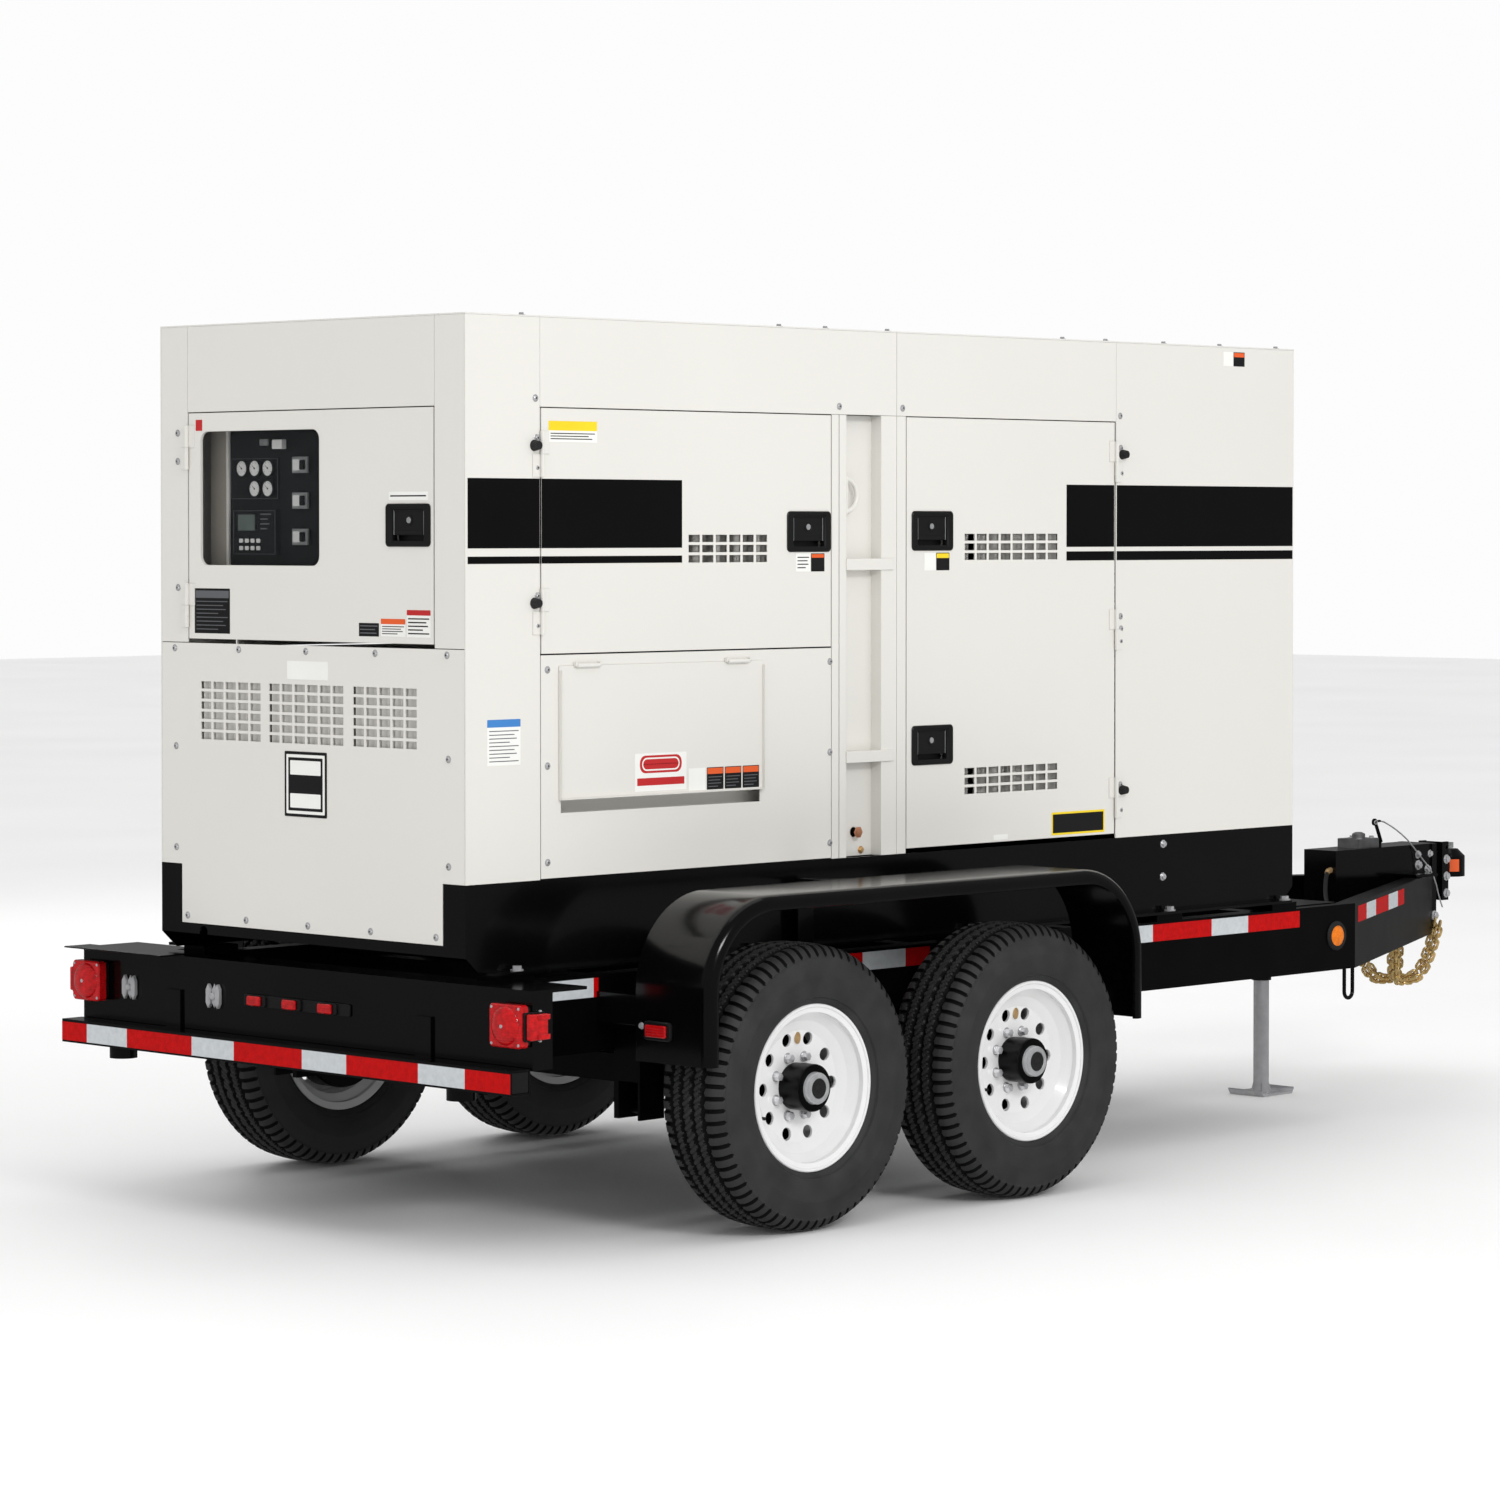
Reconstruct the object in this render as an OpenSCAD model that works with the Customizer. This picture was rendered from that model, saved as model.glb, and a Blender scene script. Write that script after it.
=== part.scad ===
// Towable diesel generator: a sound-proofed generator housing on a tandem-axle trailer.
// +X points to the coupler, +Y to the left side, +Z up. The ground is z = 0, and the
// origin is under the middle of the overall length, on the centreline.

/* [Housing] */
// Length of the housing
house_l = 3450; // [3440:5:3470]
// Width of the housing
house_w = 1240; // [1236:2:1244]
// Height of the roof above the ground
house_top = 2410; // [2405:5:2420]
// Height where the white panels meet the black base
base_top = 940; // [935:5:945]
// Thickness of the housing's panels
sheet = 4; // [3:0.5:5]
// Thickness of a door
door_t = 34; // [30:1:38]
// Bottom of the two rear-bay doors and top of the panels below them
bay_z = 1530; // [1525:5:1540]
// Top of the doors
door_top = 2170; // [2165:1:2172]

/* [Trailer] */
// Distance from the bumper's face to the housing's rear face
rear_overhang = 118; // [116:1:124]
// Distance from the housing's rear face to the tip of the coupler
nose_reach = 5186; // [5180:1:5190]
// Height of the top of the frame rails
rail_top = 683; // [680:1:686]
// Depth of the frame rails
rail_h = 203; // [200:1:206]
// Distance between the outer faces of the frame rails
frame_w = 1292; // [1288:2:1296]
// Distance from the housing's rear face to the rails' front corners
rail_reach = 3737; // [3730:1:3745]
// Distance from the housing's rear face to the nose of the frame
frame_nose = 4935; // [4930:1:4940]
// Overall width over the fenders
overall_w = 2136; // [2132:2:2144]

/* [Wheels] */
// Outer radius of a tyre
tyre_r = 382; // [380:1:384]
// Width of a tyre
tyre_w = 235; // [230:1:238]
// Radius of the rim's outer flange
rim_r = 220.5; // [219:0.5:222]
// Radius of the circle of wheel nuts
nut_pcr = 82.55; // [82:0.05:83]
// Distance from the housing's rear face to the rear axle
axle_rear_x = 853; // [850:1:856]
// Distance between the two axles
axle_gap = 878; // [876:1:882]

/* [Hidden] */
$fn = 48;

white = [0.86, 0.85, 0.82];
black = [0.06, 0.06, 0.065];
steel = [0.7, 0.7, 0.72];

x0 = rear_overhang - (rear_overhang + nose_reach) / 2;
function hx(x) = x0 + x;

half_w = house_w / 2;
rail_y = frame_w / 2;
fender_y = overall_w / 2;
rail_bottom = rail_top - rail_h;
skid_z = rail_top + 22;
tyre_y = fender_y - 5 - tyre_w / 2;
wheel_x = [hx(axle_rear_x), hx(axle_rear_x + axle_gap)];

// Doors: [x low, x high, z low, z high] in the housing's side faces
bay_door = [267, 1366, bay_z, door_top];
engine_door = [1678, 2590, base_top + 14, door_top];
control_half_w = 498;
control_z = [1557, door_top];
door_gap = 3;
pin_r = 3;
knuckle_r = 6;
knuckle_l = 60;
hinge_out = knuckle_r + 0.6;
bay_hinges = [1640, 2050];
engine_hinges = [1060, 1558, 2054];
control_hinges = [1647, 2077];

// Latches: a cup of this length and height, with a paddle that pivots at its upper edge
cup_l = 166;
cup_h = 106;
cup_d = 26;
paddle_h = 66;

jack_x = hx(4090);
tongue_angle = atan((rail_y - 74) / (frame_nose - rail_reach));
tongue_l = (frame_nose - rail_reach) / cos(tongue_angle);

// ---------- shared shapes ----------

// A box from its low corner to its high corner
module span(lo, hi) {
    translate(lo) cube([hi[0] - lo[0], hi[1] - lo[1], hi[2] - lo[2]]);
}

// Both sides of the centreline
module both_sides() {
    children();
    mirror([0, 1, 0]) children();
}

// A straight channel along +X whose web is on the outer side of y = 0
module channel(l, depth, flange, t) {
    rotate([90, 0, 90]) linear_extrude(l) polygon([
        [0, 0], [0, depth], [-flange, depth], [-flange, depth - t],
        [-t, depth - t], [-t, t], [-flange, t], [-flange, 0]
    ]);
}

// A rod between two points
module rod(a, b, r) {
    d = b - a;
    l = norm(d);
    translate(a)
        rotate([0, acos(d[2] / l), atan2(d[1], d[0])])
            cylinder(r = r, h = l);
}

// Hexagon head with its washer, standing on z = 0
module bolt_head(r) {
    cylinder(r = r * 1.35, h = r * 0.3);
    cylinder(r = r, h = r, $fn = 6);
}

// ---------- chassis ----------

module main_rails() {
    color(black) both_sides()
        translate([hx(-30), rail_y, rail_bottom])
            channel(rail_reach + 30 - 0.2, rail_h, 60, 7);
}

module tongue_rails() {
    color(black) both_sides() intersection() {
        translate([hx(rail_reach), rail_y, rail_bottom])
            rotate([0, 0, -tongue_angle])
                translate([-60, 0, 0]) channel(tongue_l + 60, rail_h, 60, 7);
        span([hx(rail_reach) + 0.2, 1, 0], [hx(frame_nose), rail_y, rail_top]);
    }
}

member_x = [60, 640, 1292, 1950, 2700, 3560];
pad_x = [156, 1045, 1933, 2822, 3380];

// Fender bracket between the two wheels: [x low, x high], and its plate thickness
fender_arm_x = [1200, 1260];
arm_t = 8;
// Deck plate ahead of the housing: [x low, x high]
deck_x = [3462, 3700];
deck_half = 600;
deck_t = 3;

module cross_members() {
    color(black) {
        span([hx(deck_x[0]), -deck_half, rail_top + 0.2], [hx(deck_x[1]), deck_half, rail_top + 0.2 + deck_t]);
        for (x = member_x)
            span([hx(x), 7.2 - rail_y, 500], [hx(x) + 60, rail_y - 7.2, 650]);
        both_sides() for (x = pad_x)
            span([hx(x) - 60, rail_y - 90, rail_top], [hx(x) + 60, rail_y - 2, skid_z - 0.2]);
        // Jack member between the tongue rails, with the jack's collar
        difference() {
            union() {
                span([jack_x - 25, -455, 520], [jack_x + 25, 455, 640]);
                translate([jack_x, 0, 395]) cylinder(r = 60, h = 300);
            }
            translate([jack_x, 0, 390]) cylinder(r = 33, h = 320);
        }
    }
}

beam_half = 915;
beam_z = [490, 692];

module rear_beam() {
    xb = hx(-42);
    color(black) {
        difference() {
            union() {
                span([xb, -beam_half, beam_z[0]], [xb + 8, beam_half, beam_z[1]]);
                span([xb, -beam_half, beam_z[1] - 8], [xb + 190, beam_half, beam_z[1]]);
                span([xb, -beam_half, beam_z[0]], [xb + 70, beam_half, beam_z[0] + 8]);
                for (s = [-1, 1], y = [rail_y + 60, beam_half - 8])
                    translate([0, s > 0 ? y : -y - 8, 0])
                        span([xb, 0, beam_z[0]], [xb + 70, 8, beam_z[1]]);
            }
            // The rails pass under the top plate
            both_sides() span([xb + 8, rail_y - 70, 400], [xb + 200, rail_y + 1, 684]);
            span([xb + 120, -rail_y - 10, 680], [xb + 200, rail_y + 10, 700]);
        }
    }
}

module rear_bumper() {
    x = hx(-rear_overhang);
    color(black) {
        difference() {
            span([x, -beam_half, 432], [x + 68, beam_half, 496]);
            span([x + 5, -beam_half - 1, 437], [x + 63, beam_half + 1, 491]);
        }
        both_sides() {
            span([x + 68, 480, 440], [x + 75.8, 540, 600]);
            translate([x + 38, 690, 402]) cylinder(r = 38, h = 29.8);
        }
    }
}

fender_rear = 434;
fender_front = 2192;
fender_top = 902;
fender_z = [469, 480];
fender_r = 250;
fender_in = 800;

// Side outline of the space between the fender's sheet and the wheels, inset by t
module fender_outline(t) {
    l = fender_rear + t;
    r = fender_front - t;
    h = fender_top - t;
    translate([l + fender_r, fender_z[0] - 2]) square([r - l - 2 * fender_r, h - fender_z[0] + 2]);
    translate([l, fender_z[0] - 2]) square([r - l, h - fender_r - fender_z[0] + 2]);
    for (x = [l + fender_r, r - fender_r]) translate([x, h - fender_r]) circle(r = fender_r, $fn = 96);
}

module fender() {
    color(black) difference() {
        translate([hx(0), fender_y, 0]) rotate([90, 0, 0])
            linear_extrude(fender_y - fender_in) difference() {
                fender_outline(0);
                fender_outline(4);
                translate([0, 0]) square([4000, fender_z[0]]);
            }
    }
    // Rolled outer lip and the inner mounting flange
    color(black) translate([hx(0), fender_y, 0]) rotate([90, 0, 0]) linear_extrude(4) difference() {
        fender_outline(3.9);
        fender_outline(34);
        square([4000, fender_z[0]]);
    }
    // Brackets from the frame rail to the sheet
    color(black) for (x = [fender_rear + 4, fender_front - 34])
        translate([hx(x), 0, 0]) span([0, rail_y, 560], [30, fender_in + 30, 640]);
    color(black) {
        span([hx(fender_arm_x[0]), rail_y, 640], [hx(fender_arm_x[1]), rail_y + arm_t, fender_top - 4]);
        span([hx(fender_arm_x[0]), rail_y, fender_top - 4 - arm_t], [hx(fender_arm_x[1]), fender_in + 8, fender_top - 4]);
    }
}

module fender_left() { fender(); }
module fender_right() { mirror([0, 1, 0]) fender(); }

spindle_r = 19;

module axles() {
    color(black) for (x = wheel_x) {
        span([x - 38, -745, tyre_r - 38], [x + 38, 745, tyre_r + 38]);
        both_sides() {
            translate([x, 744, tyre_r]) rotate([-90, 0, 0]) cylinder(r = 32, h = 98);
            translate([x, 841, tyre_r]) rotate([-90, 0, 0]) cylinder(r = spindle_r, h = 192);
            // Brake backing plate
            translate([x, 836, tyre_r]) rotate([-90, 0, 0]) cylinder(r = 150, h = 6);
        }
    }
}

spring_y = 700;
hang_mid = axle_rear_x + axle_gap / 2;

module leaf_springs() {
    color(black) both_sides() {
        for (x = wheel_x) for (s = [0 : 3]) {
            l = 300 - 62 * s;
            span([x - l, spring_y - 30, tyre_r - 52 - 9 * s], [x + l, spring_y + 30, tyre_r - 44.2 - 9 * s]);
        }
        for (x = wheel_x)
            span([x - 60, spring_y - 42, tyre_r - 44], [x + 60, spring_y + 42, tyre_r - 38.2]);
        // Hangers at the ends and the equaliser's hanger between the springs
        for (x = [axle_rear_x - 350, hang_mid - 45, axle_rear_x + axle_gap + 260])
            difference() {
                span([hx(x), rail_y + 0.2, 300], [hx(x) + 90, spring_y + 44, rail_bottom + 90]);
                span([hx(x) - 1, spring_y - 36, 290], [hx(x) + 91, spring_y + 36, 400]);
            }
        for (x = [axle_rear_x - 305, hang_mid, axle_rear_x + axle_gap + 305])
            translate([hx(x), spring_y - 50, 322]) rotate([-90, 0, 0]) cylinder(r = 10, h = 100);
        span([hx(hang_mid - 120), spring_y - 18, 345], [hx(hang_mid + 120), spring_y + 18, 380]);
    }
}

module lamps() {
    xf = hx(-42);
    color("red") {
        both_sides() {
            span([xf - 55, 795, 548], [xf - 0.2, 916, 658]);
            span([xf - 40, 915.2, 563], [xf + 40, 945, 643]);
        }
        for (y = [155, 10, -135]) span([xf - 22, y - 35, 580], [xf - 6, y + 35, 606]);
        both_sides() span([hx(fender_rear) - 22, fender_in + 60, 530], [hx(fender_rear) - 0.2, fender_in + 150, 575]);
    }
    color(black) span([xf - 6, -220, 576], [xf - 0.2, 212, 610]);
    color(steel) for (y = [701, 337]) span([xf - 18, y - 26, 572], [xf - 0.2, y + 26, 612]);
    color("orange") both_sides() {
        translate([hx(3639), rail_y, 587]) rotate([-90, 0, 0]) cylinder(r = 46, h = 10);
        translate([hx(fender_front) + 40, rail_y, 552]) rotate([-90, 0, 0]) cylinder(r = 22, h = 60);
    }
}

// ---------- tongue ----------

leg_r = 25.4;
leg_clear = 0.05;

module jack_tube() {
    color(black) difference() {
        union() {
            translate([jack_x, 0, 375]) cylinder(r = 32.5, h = 675);
            translate([jack_x, 0, 1030]) cylinder(r = 42, h = 60);
            translate([jack_x, 0, 1058]) rotate([-90, 0, 0]) cylinder(r = 18, h = 70);
        }
        translate([jack_x, 0, 370]) cylinder(r = leg_r + leg_clear, h = 640);
        translate([jack_x, 0, 1058]) rotate([-90, 0, 0]) cylinder(r = 10.05, h = 80);
    }
}

module jack_leg() {
    color(steel) {
        difference() {
            cylinder_at(jack_x, 8, 730, leg_r);
            cylinder_at(jack_x, 12, 740, leg_r - 6);
        }
        span([jack_x - 75, -70, 0], [jack_x + 75, 70, 8]);
    }
}

module cylinder_at(x, z_low, z_high, r) {
    translate([x, 0, z_low]) cylinder(r = r, h = z_high - z_low);
}

module jack_crank() {
    color(steel) {
        translate([jack_x, 20, 1058]) rotate([-90, 0, 0]) cylinder(r = 10, h = 110);
        span([jack_x - 10, 118, 1048], [jack_x + 190, 130, 1068]);
        translate([jack_x + 180, 124, 1058]) rotate([-90, 0, 0]) cylinder(r = 9, h = 110);
    }
}

act_x = [4404, 4960];
act_z = [606, 786];
act_half = 66;
notch_x = 4780;
bar_half = 32;
bar_z = 720;

module actuator_housing() {
    color(black) difference() {
        union() {
            // Box between the tongue rails, stepped up over them towards the nose
            span([hx(act_x[0]), -act_half, act_z[0]], [hx(notch_x), act_half, act_z[1]]);
            span([hx(notch_x) - 1, -act_half, rail_top + 0.3], [hx(act_x[1]), act_half, act_z[1]]);
            // Nose plate in front of the rails, and feet on top of them
            span([hx(frame_nose) + 0.3, -72, rail_bottom], [hx(act_x[1]), 72, act_z[1]]);
            both_sides() span([hx(4740), act_half - 1, rail_top + 0.3], [hx(4860), 150, rail_top + 10]);
            span([hx(4700), -14, act_z[1] - 1], [hx(4726), 14, act_z[1] + 26]);
        }
        span([hx(act_x[0]) + 8, -bar_half - 0.5, bar_z - bar_half - 0.5],
             [hx(act_x[1]) + 1, bar_half + 0.5, bar_z + bar_half + 0.5]);
        translate([hx(4713), -20, act_z[1] + 14]) rotate([-90, 0, 0]) cylinder(r = 5.05, h = 40);
    }
}

module master_cylinder() {
    color(steel) {
        span([hx(4560), -45, act_z[1] + 0.2], [hx(4670), 45, act_z[1] + 30]);
        translate([hx(4590), -20, act_z[1] + 29]) cylinder(r = 22, h = 14);
        translate([hx(4640), 18, act_z[1] + 29]) cylinder(r = 16, h = 10);
    }
}

coupler_x = 5132;
ball_r = 29.75;

module coupler() {
    color(black) {
        // Sliding bar, and the slotted channel that sets the coupler's height
        difference() {
            span([hx(act_x[0]) + 96, -bar_half, bar_z - bar_half], [hx(5030), bar_half, bar_z + bar_half]);
            span([hx(act_x[0]) + 90, -bar_half + 8, bar_z - bar_half + 8],
                 [hx(5020), bar_half - 8, bar_z + bar_half - 8]);
        }
        difference() {
            span([hx(5024), -50, 586], [hx(5060), 50, 786]);
            span([hx(5032), -42, 585], [hx(5061), 42, 787]);
            for (z = [610, 668, 726, 764]) translate([hx(5047), -60, z]) rotate([-90, 0, 0]) cylinder(r = 8, h = 120);
        }
        difference() {
            union() {
                span([hx(5033), -34, 662], [hx(5120), 34, 742]);
                translate([hx(coupler_x), 0, 662]) cylinder(r = 54, h = 70);
                translate([hx(coupler_x), 0, 732]) cylinder(r1 = 54, r2 = 30, h = 24);
            }
            translate([hx(coupler_x), 0, 661]) cylinder(r = ball_r, h = 45);
            translate([hx(coupler_x), 0, 706]) cylinder(r1 = ball_r, r2 = 8, h = 30);
            translate([hx(5075), -60, 742]) rotate([-90, 0, 0]) cylinder(r = 4.05, h = 120);
        }
        both_sides() difference() {
            span([hx(5063), 14, 741], [hx(5087), 22, 766]);
            translate([hx(5075), 0, 756]) rotate([-90, 0, 0]) cylinder(r = 4, h = 40);
        }
        translate([hx(5075), -22, 756]) rotate([-90, 0, 0]) cylinder(r = 4, h = 44);
    }
}

module coupler_latch() {
    color(steel) difference() {
        union() {
            translate([hx(5075), -13, 756]) rotate([-90, 0, 0]) cylinder(r = 9, h = 26);
            span([hx(5075), -13, 759], [hx(5140), 13, 765]);
            span([hx(5132), -13, 759], [hx(5140), 13, 778]);
        }
        translate([hx(5075), -14, 756]) rotate([-90, 0, 0]) cylinder(r = 4.05, h = 28);
    }
}

module breakaway_lever() {
    color(black) {
        translate([hx(4713), -22, act_z[1] + 14]) rotate([-90, 0, 0]) cylinder(r = 5, h = 48);
        rod([hx(4713), -22, act_z[1] + 14], [hx(4680), -22, act_z[1] + 82], 6);
        translate([hx(4680), -22, act_z[1] + 82]) rotate([-90, 0, 0]) cylinder(r = 12, h = 6);
    }
}

// The breakaway cable rises from the lever, crosses the housing and hangs to its clip
cable_r = 2.5;
cable_path = [
    [4674, -34, 872], [4690, -35, 872], [4708, -37, 868], [4726, -40, 860], [4744, -45, 850],
    [4762, -51, 838], [4780, -58, 824], [4798, -65, 808], [4816, -71, 790], [4834, -75, 770],
    [4852, -82, 748], [4870, -92, 724], [4886, -101, 700], [4900, -105, 674], [4912, -106, 648],
    [4922, -106, 622], [4932, -106, 600], [4944, -104, 582], [4956, -100, 570]
];

function unit(v) = v / norm(v);
function tangent(p, i) = unit(p[min(i + 1, len(p) - 1)] - p[max(i - 1, 0)]);
function ring(c, t, r, n) = let (a = unit(cross(t, [0.3, 1, 0.1])), b = cross(t, a))
    [for (k = [0 : n - 1]) c + r * (cos(360 * k / n) * a + sin(360 * k / n) * b)];

// A tube of radius r and n sides along the points p
module sweep(p, r, n) {
    m = len(p);
    points = [for (i = [0 : m - 1]) each ring(p[i], tangent(p, i), r, n)];
    sides = [for (i = [0 : m - 2], k = [0 : n - 1])
        [i * n + k, i * n + (k + 1) % n, (i + 1) * n + (k + 1) % n, (i + 1) * n + k]];
    polyhedron(points, concat([[for (k = [n - 1 : -1 : 0]) k]], sides,
        [[for (k = [0 : n - 1]) (m - 1) * n + k]]), convexity = 6);
}

module breakaway_cable() {
    color(steel) sweep([for (q = cable_path) [hx(q[0]), q[1], q[2]]], cable_r, 8);
}

// Each safety chain hangs in a loop from the nose back under the tongue, and sways
// inwards at its lowest point
link_r = 15;
link_wire = 4.5;
link_pitch = 22;
chain_span = 250;
chain_drop = 200;
chain_y = 96;
chain_sway = 58;

function chain_point(u) = [hx(4950) - chain_span * u, chain_y - chain_sway * (1 - pow(2 * u - 1, 2)),
    520 - chain_drop * (1 - pow(2 * u - 1, 4))];
function chain_length(n) = [for (i = [0 : n]) chain_point(i / n)];
function walk(p, i = 0, s = 0) = i >= len(p) - 1 ? [s] : concat([s], walk(p, i + 1, s + norm(p[i + 1] - p[i])));
function lookup_at(p, s, d, i = 0) = i >= len(p) - 2 || s[i + 1] >= d
    ? let (k = (d - s[i]) / (s[i + 1] - s[i])) [p[i] + k * (p[i + 1] - p[i]), unit(p[i + 1] - p[i])]
    : lookup_at(p, s, d, i + 1);

module safety_chains() {
    p = chain_length(60);
    s = walk(p);
    count = floor((s[60] - link_r * 2) / link_pitch);
    color([0.72, 0.58, 0.28]) both_sides() for (i = [0 : count]) {
        q = lookup_at(p, s, link_r + i * link_pitch);
        translate(q[0])
            rotate([0, -atan2(q[1][2], q[1][0]), 0]) rotate([i % 2 == 0 ? 45 : -45, 0, 0])
                rotate_extrude($fn = 24) translate([link_r, 0]) circle(r = link_wire, $fn = 14);
    }
}

// ---------- wheels ----------

// A wheel is drawn about the y axis at its own centre, with its outer side towards -y
module tyre() {
    w = tyre_w / 2;
    color([0.08, 0.08, 0.08]) rotate([90, 0, 0]) rotate_extrude($fn = 120) polygon([
        [204.5, -82.5], [221, -88.3], [224, -97], [250, -w + 4], [300, -w], [340, -w + 8], [368, -w + 20], [tyre_r - 2, -w + 36],
        [tyre_r, 0],
        [tyre_r - 2, w - 36], [368, w - 20], [340, w - 8], [300, w], [250, w - 4], [224, 97], [221, 88.3], [204.5, 82.5],
        [212, 78], [232, 88], [300, w - 14], [355, w - 30], [366, 0],
        [355, -w + 30], [300, -w + 14], [232, -88], [212, -78]
    ]);
}

module wheel() {
    color([0.9, 0.9, 0.9]) rotate([90, 0, 0]) {
        difference() {
            rotate_extrude($fn = 96) polygon([
                [rim_r, 95], [rim_r, 89], [204, 83], [204, 72], [180, 40], [180, -60], [204, -72], [204, -83],
                [rim_r, -89], [rim_r, -95], [199, -89], [199, -75], [175, -62], [175, 14], [150, 30],
                [62, 20], [62, 27], [148, 38], [176, 52], [199, 75], [199, 89]
            ]);
            for (k = [0 : 9]) rotate([0, 0, 36 * k]) translate([130, 0, 0]) cylinder(r = 17, h = 60);
        }
    }
    color([0.15, 0.15, 0.15]) rotate([90, 0, 0]) difference() {
        union() {
            translate([0, 0, -60]) cylinder(r = 62.5, h = 158);
            translate([0, 0, -2]) cylinder(r = 104, h = 22.5);
            translate([0, 0, -100]) cylinder(r = 155, h = 60);
            translate([0, 0, 98]) cylinder(r = 40, h = 14);
        }
        translate([0, 0, -101]) cylinder(r = spindle_r + 0.05, h = 190);
        translate([0, 0, -101]) cylinder(r = 140, h = 40);
    }
    color(steel) rotate([90, 0, 0]) for (k = [0 : 7]) rotate([0, 0, 45 * k + 22.5])
        translate([nut_pcr, 0, 20]) cylinder(r = 11, h = 22, $fn = 6);
}

module place_wheel(side, i) {
    translate([wheel_x[i], side * tyre_y, tyre_r]) mirror([0, side > 0 ? 1 : 0, 0]) children();
}

module tyre_right_rear() { place_wheel(-1, 0) tyre(); }
module tyre_right_front() { place_wheel(-1, 1) tyre(); }
module tyre_left_rear() { place_wheel(1, 0) tyre(); }
module tyre_left_front() { place_wheel(1, 1) tyre(); }
module wheel_right_rear() { place_wheel(-1, 0) wheel(); }
module wheel_right_front() { place_wheel(-1, 1) wheel(); }
module wheel_left_rear() { place_wheel(1, 0) wheel(); }
module wheel_left_front() { place_wheel(1, 1) wheel(); }

// ---------- base and housing ----------

skid_post = 86;

module base_skid() {
    color(black) {
        // Side walls with chamfered lower corners and a bolted foot flange
        both_sides() {
            translate([0, half_w, 0]) rotate([90, 0, 0]) linear_extrude(6) polygon([
                [hx(0), base_top], [hx(0), skid_z + 46], [hx(50), skid_z],
                [hx(house_l - 50), skid_z], [hx(house_l), skid_z + 46], [hx(house_l), base_top]
            ]);
            difference() {
                span([hx(60), half_w - 1, skid_z], [hx(house_l - 60), rail_y + 20, skid_z + 8]);
                // Notch around the fender's bracket
                span([hx(fender_arm_x[0]) - 2, rail_y - 2, skid_z - 1], [hx(fender_arm_x[1]) + 2, rail_y + 21, skid_z + 9]);
            }
            for (x = pad_x) translate([hx(x), rail_y - 2, skid_z + 8]) bolt_head(13);
        }
        // End walls; the rear one is covered by the grille panel between the corner posts
        difference() {
            span([hx(0), 6.2 - half_w, skid_z + 46], [hx(6), half_w - 6.2, base_top]);
            span([hx(-1), skid_post - half_w, 778], [hx(7), half_w - skid_post, base_top + 1]);
            translate([hx(-1), half_w - 180, 757]) rotate([0, 90, 0]) cylinder(r = 17, h = 10);
        }
        span([hx(house_l - 6), 6.2 - half_w, skid_z + 46], [hx(house_l), half_w - 6.2, base_top]);
        // Floor beams that carry the engine and the alternator
        for (y = [-330, 290]) span([hx(8), y, 905], [hx(house_l - 8), y + 40, base_top - 2]);
    }
}

module fuel_tank() {
    color(black) difference() {
        span([hx(300), -560, skid_z + 12], [hx(3100), 560, 900]);
        span([hx(304), -556, skid_z + 16], [hx(3096), 556, 896]);
    }
}

// A panel in the right side face, mirrored by both_sides() for the left
module side_plate(x_low, x_high, z_low, z_high) {
    span([hx(x_low), half_w - sheet, z_low], [hx(x_high), half_w, z_high]);
}

header_z = door_top + 3;
roof_under = house_top - sheet - 0.3;
seam_x = 1636;
rear_post_x = 262;

module canopy_frame() {
    color(white) {
        both_sides() {
            // Rear corner post, an angle around the corner
            side_plate(0, rear_post_x, base_top + 0.3, roof_under);
            span([hx(0), control_half_w + 5, control_z[0] - 10], [hx(sheet), half_w - sheet - 0.3, roof_under]);
            // Headers over the doors, split at the seam
            side_plate(rear_post_x + 0.8, seam_x - 0.8, header_z, roof_under);
            side_plate(seam_x + 0.8, 2596, header_z, roof_under);
            // Post between the rear-bay door and the ladder column
            side_plate(1370, 1398, base_top + 0.3, header_z - 0.8);
        }
        span([hx(0), -control_half_w - 4, header_z], [hx(sheet), control_half_w + 4, roof_under]);
    }
}

module roof_panels() {
    color(white) difference() {
        for (x = [[0, rear_post_x - 0.8], [rear_post_x, seam_x - 0.8], [seam_x, house_l]])
            span([hx(x[0]), -half_w, house_top - sheet], [hx(x[1]), half_w, house_top]);
        // Exhaust outlet and the lifting eye's opening
        translate([hx(2250), 300, house_top - 20]) cylinder(r = 62, h = 40);
        span([hx(1560), -60, house_top - 20], [hx(1620), 60, house_top + 1]);
    }
    // Lifting eye on its stem
    color(steel) difference() {
        union() {
            span([hx(1580), -45, 2330], [hx(1600), 45, house_top + 12]);
            for (y = [-20, 20]) span([hx(1562), y - 3, 2330], [hx(1618), y + 3, 2395]);
        }
        translate([hx(1570), 0, 2378]) rotate([0, 90, 0]) cylinder(r = 26, h = 40);
    }
}

vent_col = 52;
vent_row = 27.5;

// A grid of ventilation holes in the x-z plane, from its low corner
module vent_grid(cols, rows, depth) {
    for (i = [0 : cols - 1], k = [0 : rows - 1])
        translate([i * vent_col, -1, k * vent_row]) cube([vent_col - 9, depth + 2, vent_row - 8]);
}

module rear_grille_panel() {
    w = half_w - 0.5;
    color(white) difference() {
        union() {
            span([hx(0), -w + sheet, base_top + 0.3], [hx(sheet), w - sheet, control_z[0] - 12]);
            span([hx(0), -w + skid_post + 2, 780], [hx(sheet), w - skid_post - 2, base_top + 1]);
        }
        for (g = [[448, 5], [161, 6], [-181, 5]])
            translate([hx(-4), g[0], 1284]) rotate([0, 0, -90]) vent_grid(g[1], 6, 10);
    }
}

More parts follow.
